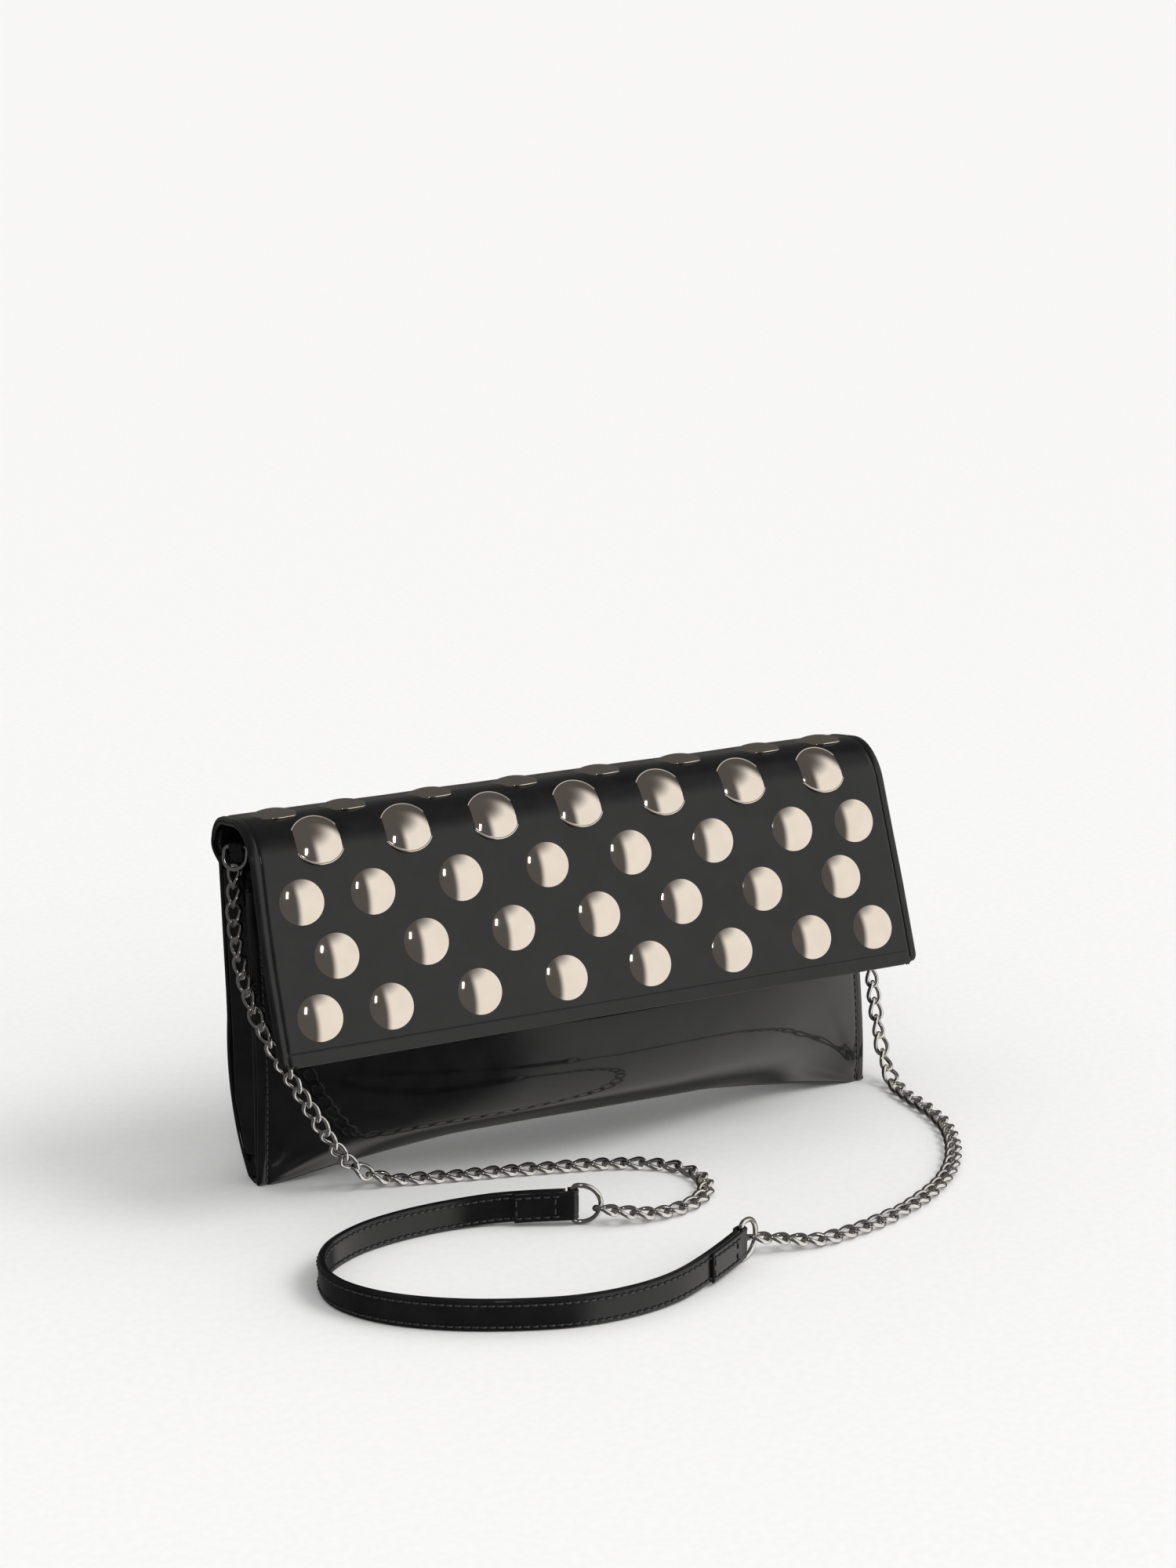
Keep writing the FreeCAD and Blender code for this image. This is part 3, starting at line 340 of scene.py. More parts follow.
def tube_points(path, radius, sides, closed):
    """Rings of points round a path, turned as little as possible from one to the next."""
    path = np.asarray(path, float)
    if closed:
        along = unit(np.roll(path, -1, 0) - np.roll(path, 1, 0))
    else:
        along = unit(np.gradient(path, axis=0))
    start = np.cross(along[0], (0.31, 0.42, 0.85))
    across = [unit(start)]
    for direction in along[1:]:
        flat = across[-1] - direction * np.dot(across[-1], direction)
        across.append(unit(flat))
    across = np.array(across)
    if closed:
        last = across[-1] - along[0] * np.dot(across[-1], along[0])
        last = unit(last)
        side = np.cross(along[0], across[0])
        twist = math.atan2(np.dot(last, side), np.dot(last, across[0]))
        turn = -twist * np.arange(len(path)) / len(path)
        other = np.cross(along, across)
        across = across * np.cos(turn)[:, None] + other * np.sin(turn)[:, None]
    up = np.cross(along, across)
    angles = np.arange(sides) * 2 * math.pi / sides
    radii = np.broadcast_to(np.asarray(radius, float), (len(path),))
    circle = (across[:, None, :] * np.cos(angles)[None, :, None]
              + up[:, None, :] * np.sin(angles)[None, :, None])
    return path[:, None, :] + circle * radii[:, None, None]


def tube_faces(rings, sides, closed, start=0):
    faces = []
    for i in range(rings if closed else rings - 1):
        n = (i + 1) % rings
        for j in range(sides):
            k = (j + 1) % sides
            faces.append((start + i * sides + j, start + i * sides + k,
                          start + n * sides + k, start + n * sides + j))
    if not closed:
        faces.append(tuple(start + j for j in reversed(range(sides))))
        faces.append(tuple(start + (rings - 1) * sides + j for j in range(sides)))
    return faces


def make_tubes(name, paths, radius, sides, closed, material):
    points = []
    faces = []
    total = 0
    for path in paths:
        rings = tube_points(path, radius, sides, closed)
        faces += tube_faces(len(path), sides, closed, total)
        points.append(rings.reshape(-1, 3))
        total += len(path) * sides
    return make_object(name, np.concatenate(points), faces, material)


def make_stitches(name, lines, body):
    """Thread along lines of (points, normals): short runs that dip at both ends."""
    paths = []
    for points, normals in lines:
        distance = np.concatenate([[0], np.cumsum(np.linalg.norm(np.diff(points, axis=0), axis=1))])
        count = int(distance[-1] // STITCH_PITCH)
        for k in range(count):
            middle = (k + 0.5) * distance[-1] / count
            spots = middle + np.linspace(-0.5, 0.5, 7) * STITCH_LENGTH
            place = np.stack([np.interp(spots, distance, points[:, a]) for a in range(3)], 1)
            out = unit(np.stack([np.interp(spots, distance, normals[:, a]) for a in range(3)], 1))
            arch = np.array([-0.30, 0.06, 0.16, 0.20, 0.16, 0.06, -0.30])
            paths.append(place + out * arch[:, None])
    thing = make_tubes(name, paths, STITCH_RADIUS, 8, False, THREAD)
    if body is not None:
        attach(thing, body)
    return thing


def uneven(values, seed, wave):
    """Smooth, repeatable unevenness between -1 and 1 over points in millimetres."""
    total = np.zeros(values.shape[:-1])
    generator = np.random.default_rng(seed)
    for octave in range(3):
        for _ in range(4):
            direction = unit(generator.normal(size=values.shape[-1]))
            phase = generator.uniform(0, 2 * math.pi)
            rate = 2 * math.pi / (wave * 0.62 ** octave)
            total += np.sin(values @ direction * rate + phase) * 0.55 ** octave
    return total / 7.0


# ---- the surfaces the leather follows

def rounded_line(corners, radii, step=0.4):
    """A line through corners in the YZ plane with round bends, and its outward normals."""
    corners = [np.array(corner, float) for corner in corners]
    points = [corners[0]]
    for before, corner, after, radius in zip(corners, corners[1:], corners[2:], radii):
        into = unit(corner - before)
        out = unit(after - corner)
        turn = math.acos(np.clip(into @ out, -1, 1))
        trim = radius * math.tan(turn / 2)
        spin = np.sign(into[0] * out[1] - into[1] * out[0])
        centre = corner - into * trim + spin * radius * np.array([-into[1], into[0]])
        start = corner - into * trim - centre
        count = max(3, int(radius * turn / step))
        for share in np.linspace(0, turn, count):
            c, s = math.cos(share * spin), math.sin(share * spin)
            points.append(centre + np.array([c * start[0] - s * start[1],
                                             s * start[0] + c * start[1]]))
    points.append(corners[-1])
    points = np.array(points)
    distance = np.concatenate([[0], np.cumsum(np.linalg.norm(np.diff(points, axis=0), axis=1))])
    dense = np.arange(0, distance[-1], step)
    dense = np.append(dense, distance[-1])
    line = np.stack([np.interp(dense, distance, points[:, a]) for a in range(2)], 1)
    along = unit(np.gradient(line, axis=0))
    return dense, line, np.stack([-along[:, 1], along[:, 0]], 1)


FLAP_AT, FLAP_LINE, FLAP_OUT = rounded_line(FLAP_CORNERS, FLAP_BENDS)
FLAP_END = FLAP_AT[-1]
STRIP_START = FLAP_END - 26.0
STRIP_INSET = 10.0
END_LEAN = 1.5
CROWN_DRAW = 1.5
BOARD_MARGIN = 3.0
FOLD_START = FLAP_END - 28.0


def flap_half(s):
    """Half the flap's width, which draws in at the crown and again at the sewn strip."""
    return (FLAP_HALF - CROWN_DRAW * smooth_step(30, 95, s)
            - STRIP_INSET * smooth_step(STRIP_START, FLAP_END, s))


def flap_frame(x, s):
    """Points and outward normals of the flap, whose ends lean back over the thin body."""
    place = np.stack([x, np.interp(s, FLAP_AT, FLAP_LINE[:, 0]),
                      np.interp(s, FLAP_AT, FLAP_LINE[:, 1])], -1)
    out = unit(np.stack([np.zeros_like(x), np.interp(s, FLAP_AT, FLAP_OUT[:, 0]),
                         np.interp(s, FLAP_AT, FLAP_OUT[:, 1])], -1))
    lean = END_LEAN * (x / FLAP_HALF) ** 2 * (1 - smooth_step(40, 95, s))
    return place - out * lean[..., None], out


def flap_swell(x, s):
    """How far the leather swells and sinks: its unevenness, border and stitch grooves."""
    side = flap_half(s) - np.abs(x)
    groove = -0.30 * np.exp(-((side - SIDE_STITCH) / 0.7) ** 2)
    groove = np.minimum(groove, -0.30 * np.exp(-((s - END_STITCH) / 0.7) ** 2)
                        * (side > SIDE_STITCH))
    border = 0.16 * (smooth_step(0, 1.2, np.minimum(side, s)) - 1)
    flat = np.stack([x, s], -1)
    calm = smooth_step(0, 14, np.minimum(side, s))
    return groove + border + 0.20 * calm * uneven(flat, 3, 70.0)


def flap_surface(x, s):
    place, out = flap_frame(x, s)
    return place + out * flap_swell(x, s)[..., None]


def edge_spaced(length, fine=0.45, reach=7.0, coarse=2.4, both=True):
    """Distances along a length, close together near its ends."""
    near = np.arange(0, reach, fine)
    far = length - near[::-1] if both else np.array([length])
    count = max(2, int((far[0] - reach) / coarse))
    middle = np.linspace(reach, far[0], count, endpoint=False)
    return np.concatenate([near, middle, far])


def flap_grid(s_low, s_high, depth=0.0, margin=0.0):
    """Outer points of the flap between two distances, with the corners of its edge rounded."""
    s = s_low + edge_spaced(s_high - s_low)
    across = edge_spaced(2 * FLAP_HALF) / (2 * FLAP_HALF) * 2 - 1
    low = np.clip(FLAP_CORNER_RADIUS - s, 0, None)
    inset = FLAP_CORNER_RADIUS - np.sqrt(np.clip(FLAP_CORNER_RADIUS ** 2 - low ** 2, 0, None))
    x = (flap_half(s) - inset - margin)[:, None] * across[None, :]
    place, out = flap_frame(x, np.broadcast_to(s[:, None], x.shape))
    swell = flap_swell(x, np.broadcast_to(s[:, None], x.shape))
    return place + out * (swell - depth)[..., None]


def section_points(top, knee, radius, seam, flat, side, share):
    """A panel's section: a straight upper stretch, a round belly and a flat foot."""
    top, knee, seam = (np.array(point, float) for point in (top, knee, seam))
    foot = seam + np.array([flat * side, 0.0])
    chord = foot - knee
    half = np.linalg.norm(chord) / 2
    inward = unit(np.array([-chord[1], chord[0]]))
    if inward[0] * side > 0:
        inward = -inward
    centre = (knee + foot) / 2 + inward * math.sqrt(radius ** 2 - half ** 2)
    start = math.atan2(*(knee - centre)[::-1])
    end = math.atan2(*(foot - centre)[::-1])
    turn = (end - start + math.pi) % (2 * math.pi) - math.pi
    line = []
    for value in share:
        if value < 0.5:
            line.append(top + (knee - top) * value / 0.5)
        elif value < 0.95:
            angle = start + turn * (value - 0.5) / 0.45
            line.append(centre + radius * np.array([math.cos(angle), math.sin(angle)]))
        else:
            line.append(foot + (seam - foot) * (value - 0.95) / 0.05)
    return np.array(line)


FLOOR_REST = 0.4
TWIST = 6.0
SPREAD = 2.4
PANELS = {
    "front": (-1, ((-8.9, 120.0), (-31.4, 66.0), 34.0, (-1.0, 14.0), 3.0),
              ((5.0, 120.0), (2.5, 66.0), 300.0, (3.0, -1.0), 4.0)),
    "back": (1, ((37.4, 125.5), (38.3, 60.0), 42.5, (-1.0, 14.0), 3.0),
             ((37.5, 125.5), (33.2, 60.0), 67.4, (3.0, -1.0), 4.0)),
}


def panel_grid(face, share, columns):
    """Points of a panel's outer face: rows down the section, columns across the bag."""
    side, middle, edge = PANELS[face]
    full = section_points(*middle, side, share)
    thin = section_points(*edge, side, share)
    u = columns / BODY_HALF
    blend = (u * u)[None, :, None]
    line = full[:, None, :] * (1 - blend) + thin[:, None, :] * blend
    x = np.broadcast_to(columns[None, :], line.shape[:2])
    return np.concatenate([x[..., None], line], -1)


def corner_creases(points):
    """Small folds that spread from the pinched bottom corners."""
    lift = np.zeros(points.shape[:2])
    for side, seed in ((-1, 11), (1, 17)):
        across = BODY_HALF - side * points[..., 0]
        up = points[..., 2]
        away = np.hypot(across, up)
        angle = np.degrees(np.arctan2(up, across))
        generator = np.random.default_rng(seed)
        for ray, strength in ((14, 0.5), (27, 0.9), (41, 1.0), (54, 0.8), (67, 0.9), (78, 0.5)):
            reach = 16 + 16 * generator.random()
            bend = 5 * math.sin(generator.uniform(0, 6)) * away / 30
            ridge = np.exp(-((angle - ray - bend) / 5.0) ** 2)
            fade = smooth_step(4, 12, away) * np.exp(-(away / reach) ** 2)
            lift += 1.1 * strength * ridge * fade
    return lift


def soft_folds(points, face):
    """Long shallow folds of the padded panel above the bottom seam."""
    x, z = points[..., 0], points[..., 2]
    base = 14.0 * (1 - (x / BODY_HALF) ** 2)
    height = z - base
    lift = 0.5 * uneven(points * np.array([0.45, 0.6, 1.0]), 5 if face == "front" else 9, 46.0)
    lift -= 0.55 * np.exp(-((height - 8 - 0.05 * x) / 4.5) ** 2) * np.exp(-((x + 35) / 55) ** 2)
    lift += 0.45 * np.exp(-((height - 15 - 0.03 * x) / 5.0) ** 2) * np.exp(-((x + 20) / 60) ** 2)
    return lift


def stance(points):
    """The bag stands a little twisted: one bottom corner further back, the other spread."""
    points = points.copy()
    u = points[..., 0] / BODY_HALF
    low = 1 - smooth_step(0, 75, points[..., 2])
    points[..., 1] += TWIST * np.clip(-u, 0, None) ** 2 * low
    points[..., 0] += SPREAD * np.clip(u, 0, None) ** 2 * low
    return points


def panel_surface(face, half=BODY_HALF, low=0.0, high=1.0, depth=0.0):
    side = PANELS[face][0]
    share = np.concatenate([np.linspace(0, 0.5, 46, endpoint=False), np.linspace(0.5, 1, 70)])
    share = low + (high - low) * share
    columns = edge_spaced(2 * half, 0.5, 5.0, 1.8) - half
    points = panel_grid(face, share, columns)
    out = grid_normals(points)
    out *= np.sign(np.sum(out[..., 1]) * side)
    calm = smooth_step(0, 16, BODY_HALF - np.abs(points[..., 0]))
    calm = calm * smooth_step(1.0, 0.9, share)[:, None]
    lift = soft_folds(points, face) * calm
    lift += corner_creases(points) * smooth_step(1.0, 0.93, share)[:, None]
    edge = np.minimum(half - np.abs(points[..., 0]), 6)
    lift -= 0.5 * np.exp(-((edge - 3.0) / 0.8) ** 2)
    points = points + out * (lift - depth)[..., None]
    points[..., 2] = np.maximum(points[..., 2], FLOOR_REST)
    return stance(points), out


# ---- flap

def make_flap():
    """The flap swings whole; the fold behind it, between flap and bag, is left on no body and stays
    where it is.
    """
    cover = sheet_of("flap_leather", flap_grid(0.0, FOLD_START), LEATHER, PATENT)
    finish_piece(cover, "flap", "patent_leather", "flap_cover")
    fold = sheet_of("flap_fold", flap_grid(FOLD_START, FLAP_END), LEATHER, PATENT)
    finish_piece(fold, None, "patent_leather", "flap_back_strip")
    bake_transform(fold)
    inner = flap_grid(0.0, FOLD_START, LEATHER + 0.02)
    facing = sheet_of("flap_facing", inner, FACING, PATENT)
    finish_piece(facing, "flap", "lining", "flap_lining")
    stiff = flap_grid(BOARD_MARGIN, FOLD_START - BOARD_MARGIN, STIFFENER, BOARD_MARGIN)
    board = sheet_of("flap_stiffener", stiff, STIFFENER, BOARD)
    finish_piece(board, "flap", "board", "flap_board")

    swinging = side_lines(END_STITCH, FOLD_START)
    x = np.arange(-FLAP_HALF + SIDE_STITCH, FLAP_HALF - SIDE_STITCH, 0.8)
    s = np.full_like(x, END_STITCH)
    swinging.append((flap_surface(x, s), flap_frame(x, s)[1]))
    make_stitches("flap_stitching", swinging, "flap")
    thread = make_stitches("fold_stitching", side_lines(FOLD_START, FLAP_END - 2), None)
    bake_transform(thread)


def side_lines(low, high):
    """Stitch lines up both sides of the flap, between two distances from its edge."""
    lines = []
    for side in (-1, 1):
        s = np.arange(low, high, 0.8)
        x = side * (flap_half(s) - SIDE_STITCH)
        lines.append((flap_surface(x, s), flap_frame(x, s)[1]))
    return lines


def row_places(row):
    if row % 2:
        return [STUD_PITCH * step for step in range(-3, 4)]
    inner = [STUD_PITCH * (step + 0.5) for step in range(3)]
    half = inner + [inner[-1] + END_PITCH]
    return sorted([-x for x in half] + half)


def stud_outline():
    """Radius and height of a stud's section, from its crown to its turned rim."""
    crown = STUD_RISE - STUD_RIM
    ball = (STUD_RADIUS ** 2 + crown ** 2) / (2 * crown)
    edge = math.asin((STUD_RADIUS - 0.45) / ball)
    dome = [(ball * math.sin(a), STUD_RISE - ball + ball * math.cos(a))
            for a in np.linspace(0.02, edge, 20)]
    rim = []
    for turn in np.linspace(110, -90, 8):
        rim.append((STUD_RADIUS - 0.30 + 0.30 * math.cos(math.radians(turn)),
                    0.52 + 0.30 * math.sin(math.radians(turn))))
    return dome + rim + [(STUD_RADIUS - 0.5, -0.25)]


def lathe(outline, segments):
    points = [(0.0, 0.0, outline[0][1])]
    for radius, height in outline:
        for k in range(segments):
            angle = 2 * math.pi * k / segments
            points.append((radius * math.cos(angle), radius * math.sin(angle), height))
    faces = [(0, 1 + k, 1 + (k + 1) % segments) for k in range(segments)]
    for ring in range(len(outline) - 1):
        for k in range(segments):
            n = (k + 1) % segments
            a = 1 + ring * segments
            faces.append((a + k, a + segments + k, a + segments + n, a + n))
    last = 1 + (len(outline) - 1) * segments
    faces.append(tuple(last + k for k in reversed(range(segments))))
    return np.array(points), faces


def make_studs():
    shape, faces = lathe(stud_outline(), 56)
    for row in range(ROWS):
        points = []
        every = []
        for x in row_places(row):
            spot = np.array([x], float)
            s = np.array([FIRST_ROW + ROW_PITCH * row])
            place, out = flap_frame(spot, s)
            out = out[0]
            across = np.array([1.0, 0, 0])
            up = np.cross(out, across)
            start = len(points) * len(shape)
            points.append(place[0] + shape[:, :1] * across + shape[:, 1:2] * up
                          + shape[:, 2:] * out)
            every += [tuple(start + v for v in face) for face in faces]
        studs = make_object(f"studs_{row + 1}", np.concatenate(points), every, STUD_METAL)
        face_outwards(studs)
        finish_piece(studs, "flap", "nickel", f"studs_row_{row + 1}")


# ---- body

def make_panels():
    for face in ("front", "back"):
        points, out = panel_surface(face)
        sheet = sheet_of(f"{face}_leather", points, PANEL - 0.05, PATENT)
        finish_piece(sheet, "bag", "patent_leather", f"{face}_panel")
        lining, _ = panel_surface(face, LINING_HALF, 0.0, 0.94, LINING_DEPTH)
        cloth = sheet_of(f"{face}_cloth", lining, CLOTH, LINING)
        finish_piece(cloth, "bag", "lining", f"{face}_lining")
        stiff, _ = panel_surface(face, STIFFENER_HALF, 0.08, 0.80, STIFFENER_DEPTH)
        board = sheet_of(f"{face}_stiffener", stiff, STIFFENER, BOARD)
        finish_piece(board, "bag", "board", f"{face}_board")
        columns = edge_spaced(2 * BODY_HALF, 0.5, 5.0, 1.8) - BODY_HALF
        lines = []
        for side in (-1, 1):
            j = int(np.argmin(np.abs(columns - side * (BODY_HALF - PANEL_STITCH))))
            lines.append((points[4:108, j], out[4:108, j]))
        make_stitches(f"{face}_stitching", lines, "bag")
    pocket, _ = panel_surface("back", POCKET_HALF, 0.21, 0.66, POCKET_DEPTH)
    finish_piece(sheet_of("pocket_cloth", pocket, CLOTH, LINING), "bag", "lining", "slip_pocket")


GUSSET_RIM = BODY_HALF - 1.0
ANCHOR_Z = 131.5
ANCHOR_INSET = 5.2
ANCHOR_OUT = 2.0
GUSSET_LEVELS = [
    (9.0, 125.5, 1.0, 13.4), (27.0, 122.5, 1.4, 25.4), (66.0, 117.0, 4.9, 31.2),
    (121.0, 111.5, 7.4, 35.2),
]


def make_gussets():
    heights = np.linspace(GUSSET_LEVELS[0][0], GUSSET_LEVELS[-1][0], 70)
    table = np.array(GUSSET_LEVELS)
    fold, front, back = (np.interp(heights, table[:, 0], table[:, k]) for k in (1, 2, 3))
    across = np.linspace(-1, 1, 61)
    soft = np.sqrt(across ** 2 + 0.06 ** 2)
    soft = (soft - soft[30]) / (soft[0] - soft[30])
    rim = BODY_HALF - 1.0
    for side, word in ((-1, "left"), (1, "right")):
        x = fold[:, None] + (rim - fold)[:, None] * soft[None, :]
        middle = (front + back) / 2
        y = middle[:, None] + (back - front)[:, None] / 2 * across[None, :]
        z = np.broadcast_to(heights[:, None], x.shape)
        ripple = 0.5 * uneven(np.stack([x, y, z], -1), 21 + side, 30.0)
        ripple = ripple * (1 - np.abs(across))[None, :]
        points = stance(np.stack([side * (x + ripple), y, z], -1))
        leather = sheet_of(f"gusset_leather_{word}", points, PANEL - 0.1, PATENT,
                           flip=1.0 if side > 0 else -1.0)
        finish_piece(leather, "bag", "patent_leather", f"gusset_{word}")


# ---- chain, strap and rings

def route_of(name, points):
    """A spline through the route, and the evenly spaced points it gives, in millimetres."""
    data = bpy.data.curves.new(name, "CURVE")
    data.dimensions = "3D"
    spline = data.splines.new("NURBS")
    spline.points.add(len(points) - 1)
    for point, place in zip(spline.points, points):
        point.co = (place[0] * MM, place[1] * MM, place[2] * MM, 1.0)
    spline.order_u = 3
    spline.use_endpoint_u = True
    data.resolution_u = 16
    thing = bpy.data.objects.new(name, data)
    bpy.context.collection.objects.link(thing)
    bpy.context.view_layer.update()
    mesh = bpy.data.meshes.new_from_object(thing.evaluated_get(
        bpy.context.evaluated_depsgraph_get()))
    line = np.array([v.co for v in mesh.vertices], float) / MM
    bpy.data.objects.remove(thing)
    distance = np.concatenate([[0], np.cumsum(np.linalg.norm(np.diff(line, axis=0), axis=1))])
    return distance, line


def along_route(route, spots):
    distance, line = route
    place = np.stack([np.interp(spots, distance, line[:, a]) for a in range(3)], 1)
    ahead = np.stack([np.interp(spots + 1.5, distance, line[:, a]) for a in range(3)], 1)
    behind = np.stack([np.interp(spots - 1.5, distance, line[:, a]) for a in range(3)], 1)
    return place, unit(ahead - behind)


def settled(points):
    """The flat links lie lower than a round chain of the same width would."""
    points = np.array(points, float)
    points[:, 2] -= 1.55 * (1 - smooth_step(4.0, 14.0, points[:, 2]))
    return points


def link_shape():
    """One curb link: an oval of wire, twisted from end to end."""
    half_length = (LINK_LENGTH - LINK_WIRE) / 2
    half_width = (LINK_WIDTH - LINK_WIRE) / 2
    turn = np.linspace(0, 2 * math.pi, 36, endpoint=False)
    x = half_length * np.cos(turn)
    y = half_width * np.sign(np.sin(turn)) * np.abs(np.sin(turn)) ** 0.85
    twist = math.radians(42) * np.cos(turn)
    path = np.stack([x, y * np.cos(twist), y * np.sin(twist)], 1)
    return tube_points(path, LINK_WIRE / 2, 10, True)


def make_chain(name, points, side, top_first, node):
    route = route_of(f"{name}_route", settled(points))
    total = route[0][-1]
    count = int(round(total / LINK_PITCH)) + 1
    spots = np.linspace(0, total, count)
    place, along = along_route(route, spots)
    steep = smooth_step(0.35, 0.8, np.abs(along[:, 2]))[:, None]
    up = np.array([0.0, 0, 1]) * (1 - steep) + np.array([min(side * 0.8, 0.1), -0.7, 0]) * steep
    up = unit(up - along * np.sum(up * along, axis=1, keepdims=True))
    generator = np.random.default_rng(4 + side)
    roll = np.radians(generator.uniform(-7, 7, count)) * (1 + 2 * steep[:, 0])
    across = np.cross(up, along)
    turned = up * np.cos(roll)[:, None] + across * np.sin(roll)[:, None]
    across = np.cross(turned, along)
    shape = link_shape()
    rings, sides, _ = shape.shape
    flat = shape.reshape(-1, 3)
    every = []
    faces = []
    for k in range(count):
        every.append(place[k] + flat[:, :1] * along[k] + flat[:, 1:2] * across[k]
                     + flat[:, 2:] * turned[k])
        faces += tube_faces(rings, sides, True, k * len(flat))
    chain = make_object(name, np.concatenate(every), faces, CHAIN_METAL)
    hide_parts(node)
    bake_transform(chain)
    dense = np.arange(0, total, 2.0)
    line, _ = along_route(route, np.append(dense, total))
    if not top_first:
        line = line[::-1]
    return chain


def band_outline(thickness, width, corner):
    """A strap's section, with round edges and a stitch groove near each edge."""
    outline = []
    for sx, sy, start in ((1, 1, 0), (-1, 1, 90), (-1, -1, 180), (1, -1, 270)):
        for turn in np.linspace(start, start + 90, 5):
            outline.append((sx * (thickness / 2 - corner) + corner * math.cos(math.radians(turn)),
                            sy * (width / 2 - corner) + corner * math.sin(math.radians(turn))))
    full = []
    for (ax, ay), (bx, by) in zip(outline, outline[1:] + outline[:1]):
        full.append((ax, ay))
        if abs(by - ay) > width / 3:
            for share in np.linspace(0, 1, 26)[1:-1]:
                y = ay + (by - ay) * share
                edge = width / 2 - abs(y)
                dip = 0.16 * math.exp(-((edge - STRAP_EDGE_STITCH) / 0.45) ** 2)
                full.append((ax - math.copysign(dip, ax), y))
    return np.array(full)


def sweep_band(name, line, along, outline, material):
    """A band whose width stands on Z and whose thickness lies across its route."""
    up = np.array([0.0, 0, 1])
    side = unit(np.cross(along, up))
    height = np.cross(side, along)
    rings = (line[:, None, :] + outline[None, :, :1] * side[:, None, :]
             + outline[None, :, 1:] * height[:, None, :])
    sides = len(outline)
    return make_object(name, rings.reshape(-1, 3), tube_faces(len(line), sides, False), material)


def make_strap():
    route = route_of("strap_route", STRAP)
    total = route[0][-1]
    spots = np.linspace(0, total, int(total / 1.5))
    line, along = along_route(route, spots)
    outline = band_outline(STRAP_THICKNESS, STRAP_WIDTH, 0.8)
    strap = sweep_band("strap_leather", line, along, outline, PATENT)
    face_outwards(strap)
    finish_piece(strap, "bag", "patent_leather", "strap")
    side = unit(np.cross(along, (0, 0, 1.0)))
    height = np.cross(side, along)
    lines = []
    for face in (-1, 1):
        for edge in (-1, 1):
            offset = side * face * STRAP_THICKNESS / 2
            rise = height * edge * (STRAP_WIDTH / 2 - STRAP_EDGE_STITCH)
            lines.append((line + offset + rise, side * face))
    thread = make_stitches("strap_stitching", lines, "bag")
    pieces = [thread]
    for word, at_end in (("left", False), ("right", True)):
        pieces += make_strap_end(word, line[::-1] if at_end else line,
                                 -along[::-1] if at_end else along)
    return pieces


def ring_path(bar, reach, wire):
    """A D ring's wire: a straight bar on Z through the origin, and a bow towards +X."""
    half = bar / 2
    leg = max(reach - half, 1.0)
    path = [(0.0, 0.0, z) for z in np.linspace(-half + wire, half - wire, 12)]
    for turn in np.linspace(0, 90, 6):
        angle = math.radians(turn)
        path.append((wire - wire * math.cos(angle), 0.0, half - wire + wire * math.sin(angle)))
    for turn in np.linspace(90, -90, 26):
        angle = math.radians(turn)
        path.append((leg + (reach - leg) * math.cos(angle), 0.0, half * math.sin(angle)))
    for turn in np.linspace(90, 0, 6)[:-1]:
        angle = math.radians(turn)
        path.append((wire - wire * math.cos(angle), 0.0, -half + wire - wire * math.sin(angle)))
    return np.array(path)


def make_ring(name, node, origin, bow, bar_along, bar, reach):
    path = ring_path(bar, reach, RING_WIRE)
    side = np.cross(bar_along, bow)
    line = origin + path[:, :1] * bow + path[:, 1:2] * side + path[:, 2:] * bar_along
    ring = make_tubes(name, [line], RING_WIRE / 2, 14, True, CHAIN_METAL)
    face_outwards(ring)
    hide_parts(node)
    return ring


EYE = RING_WIRE / 2 + 0.15
LAP_PLY = 1.2
LAP_LENGTH = 20.0


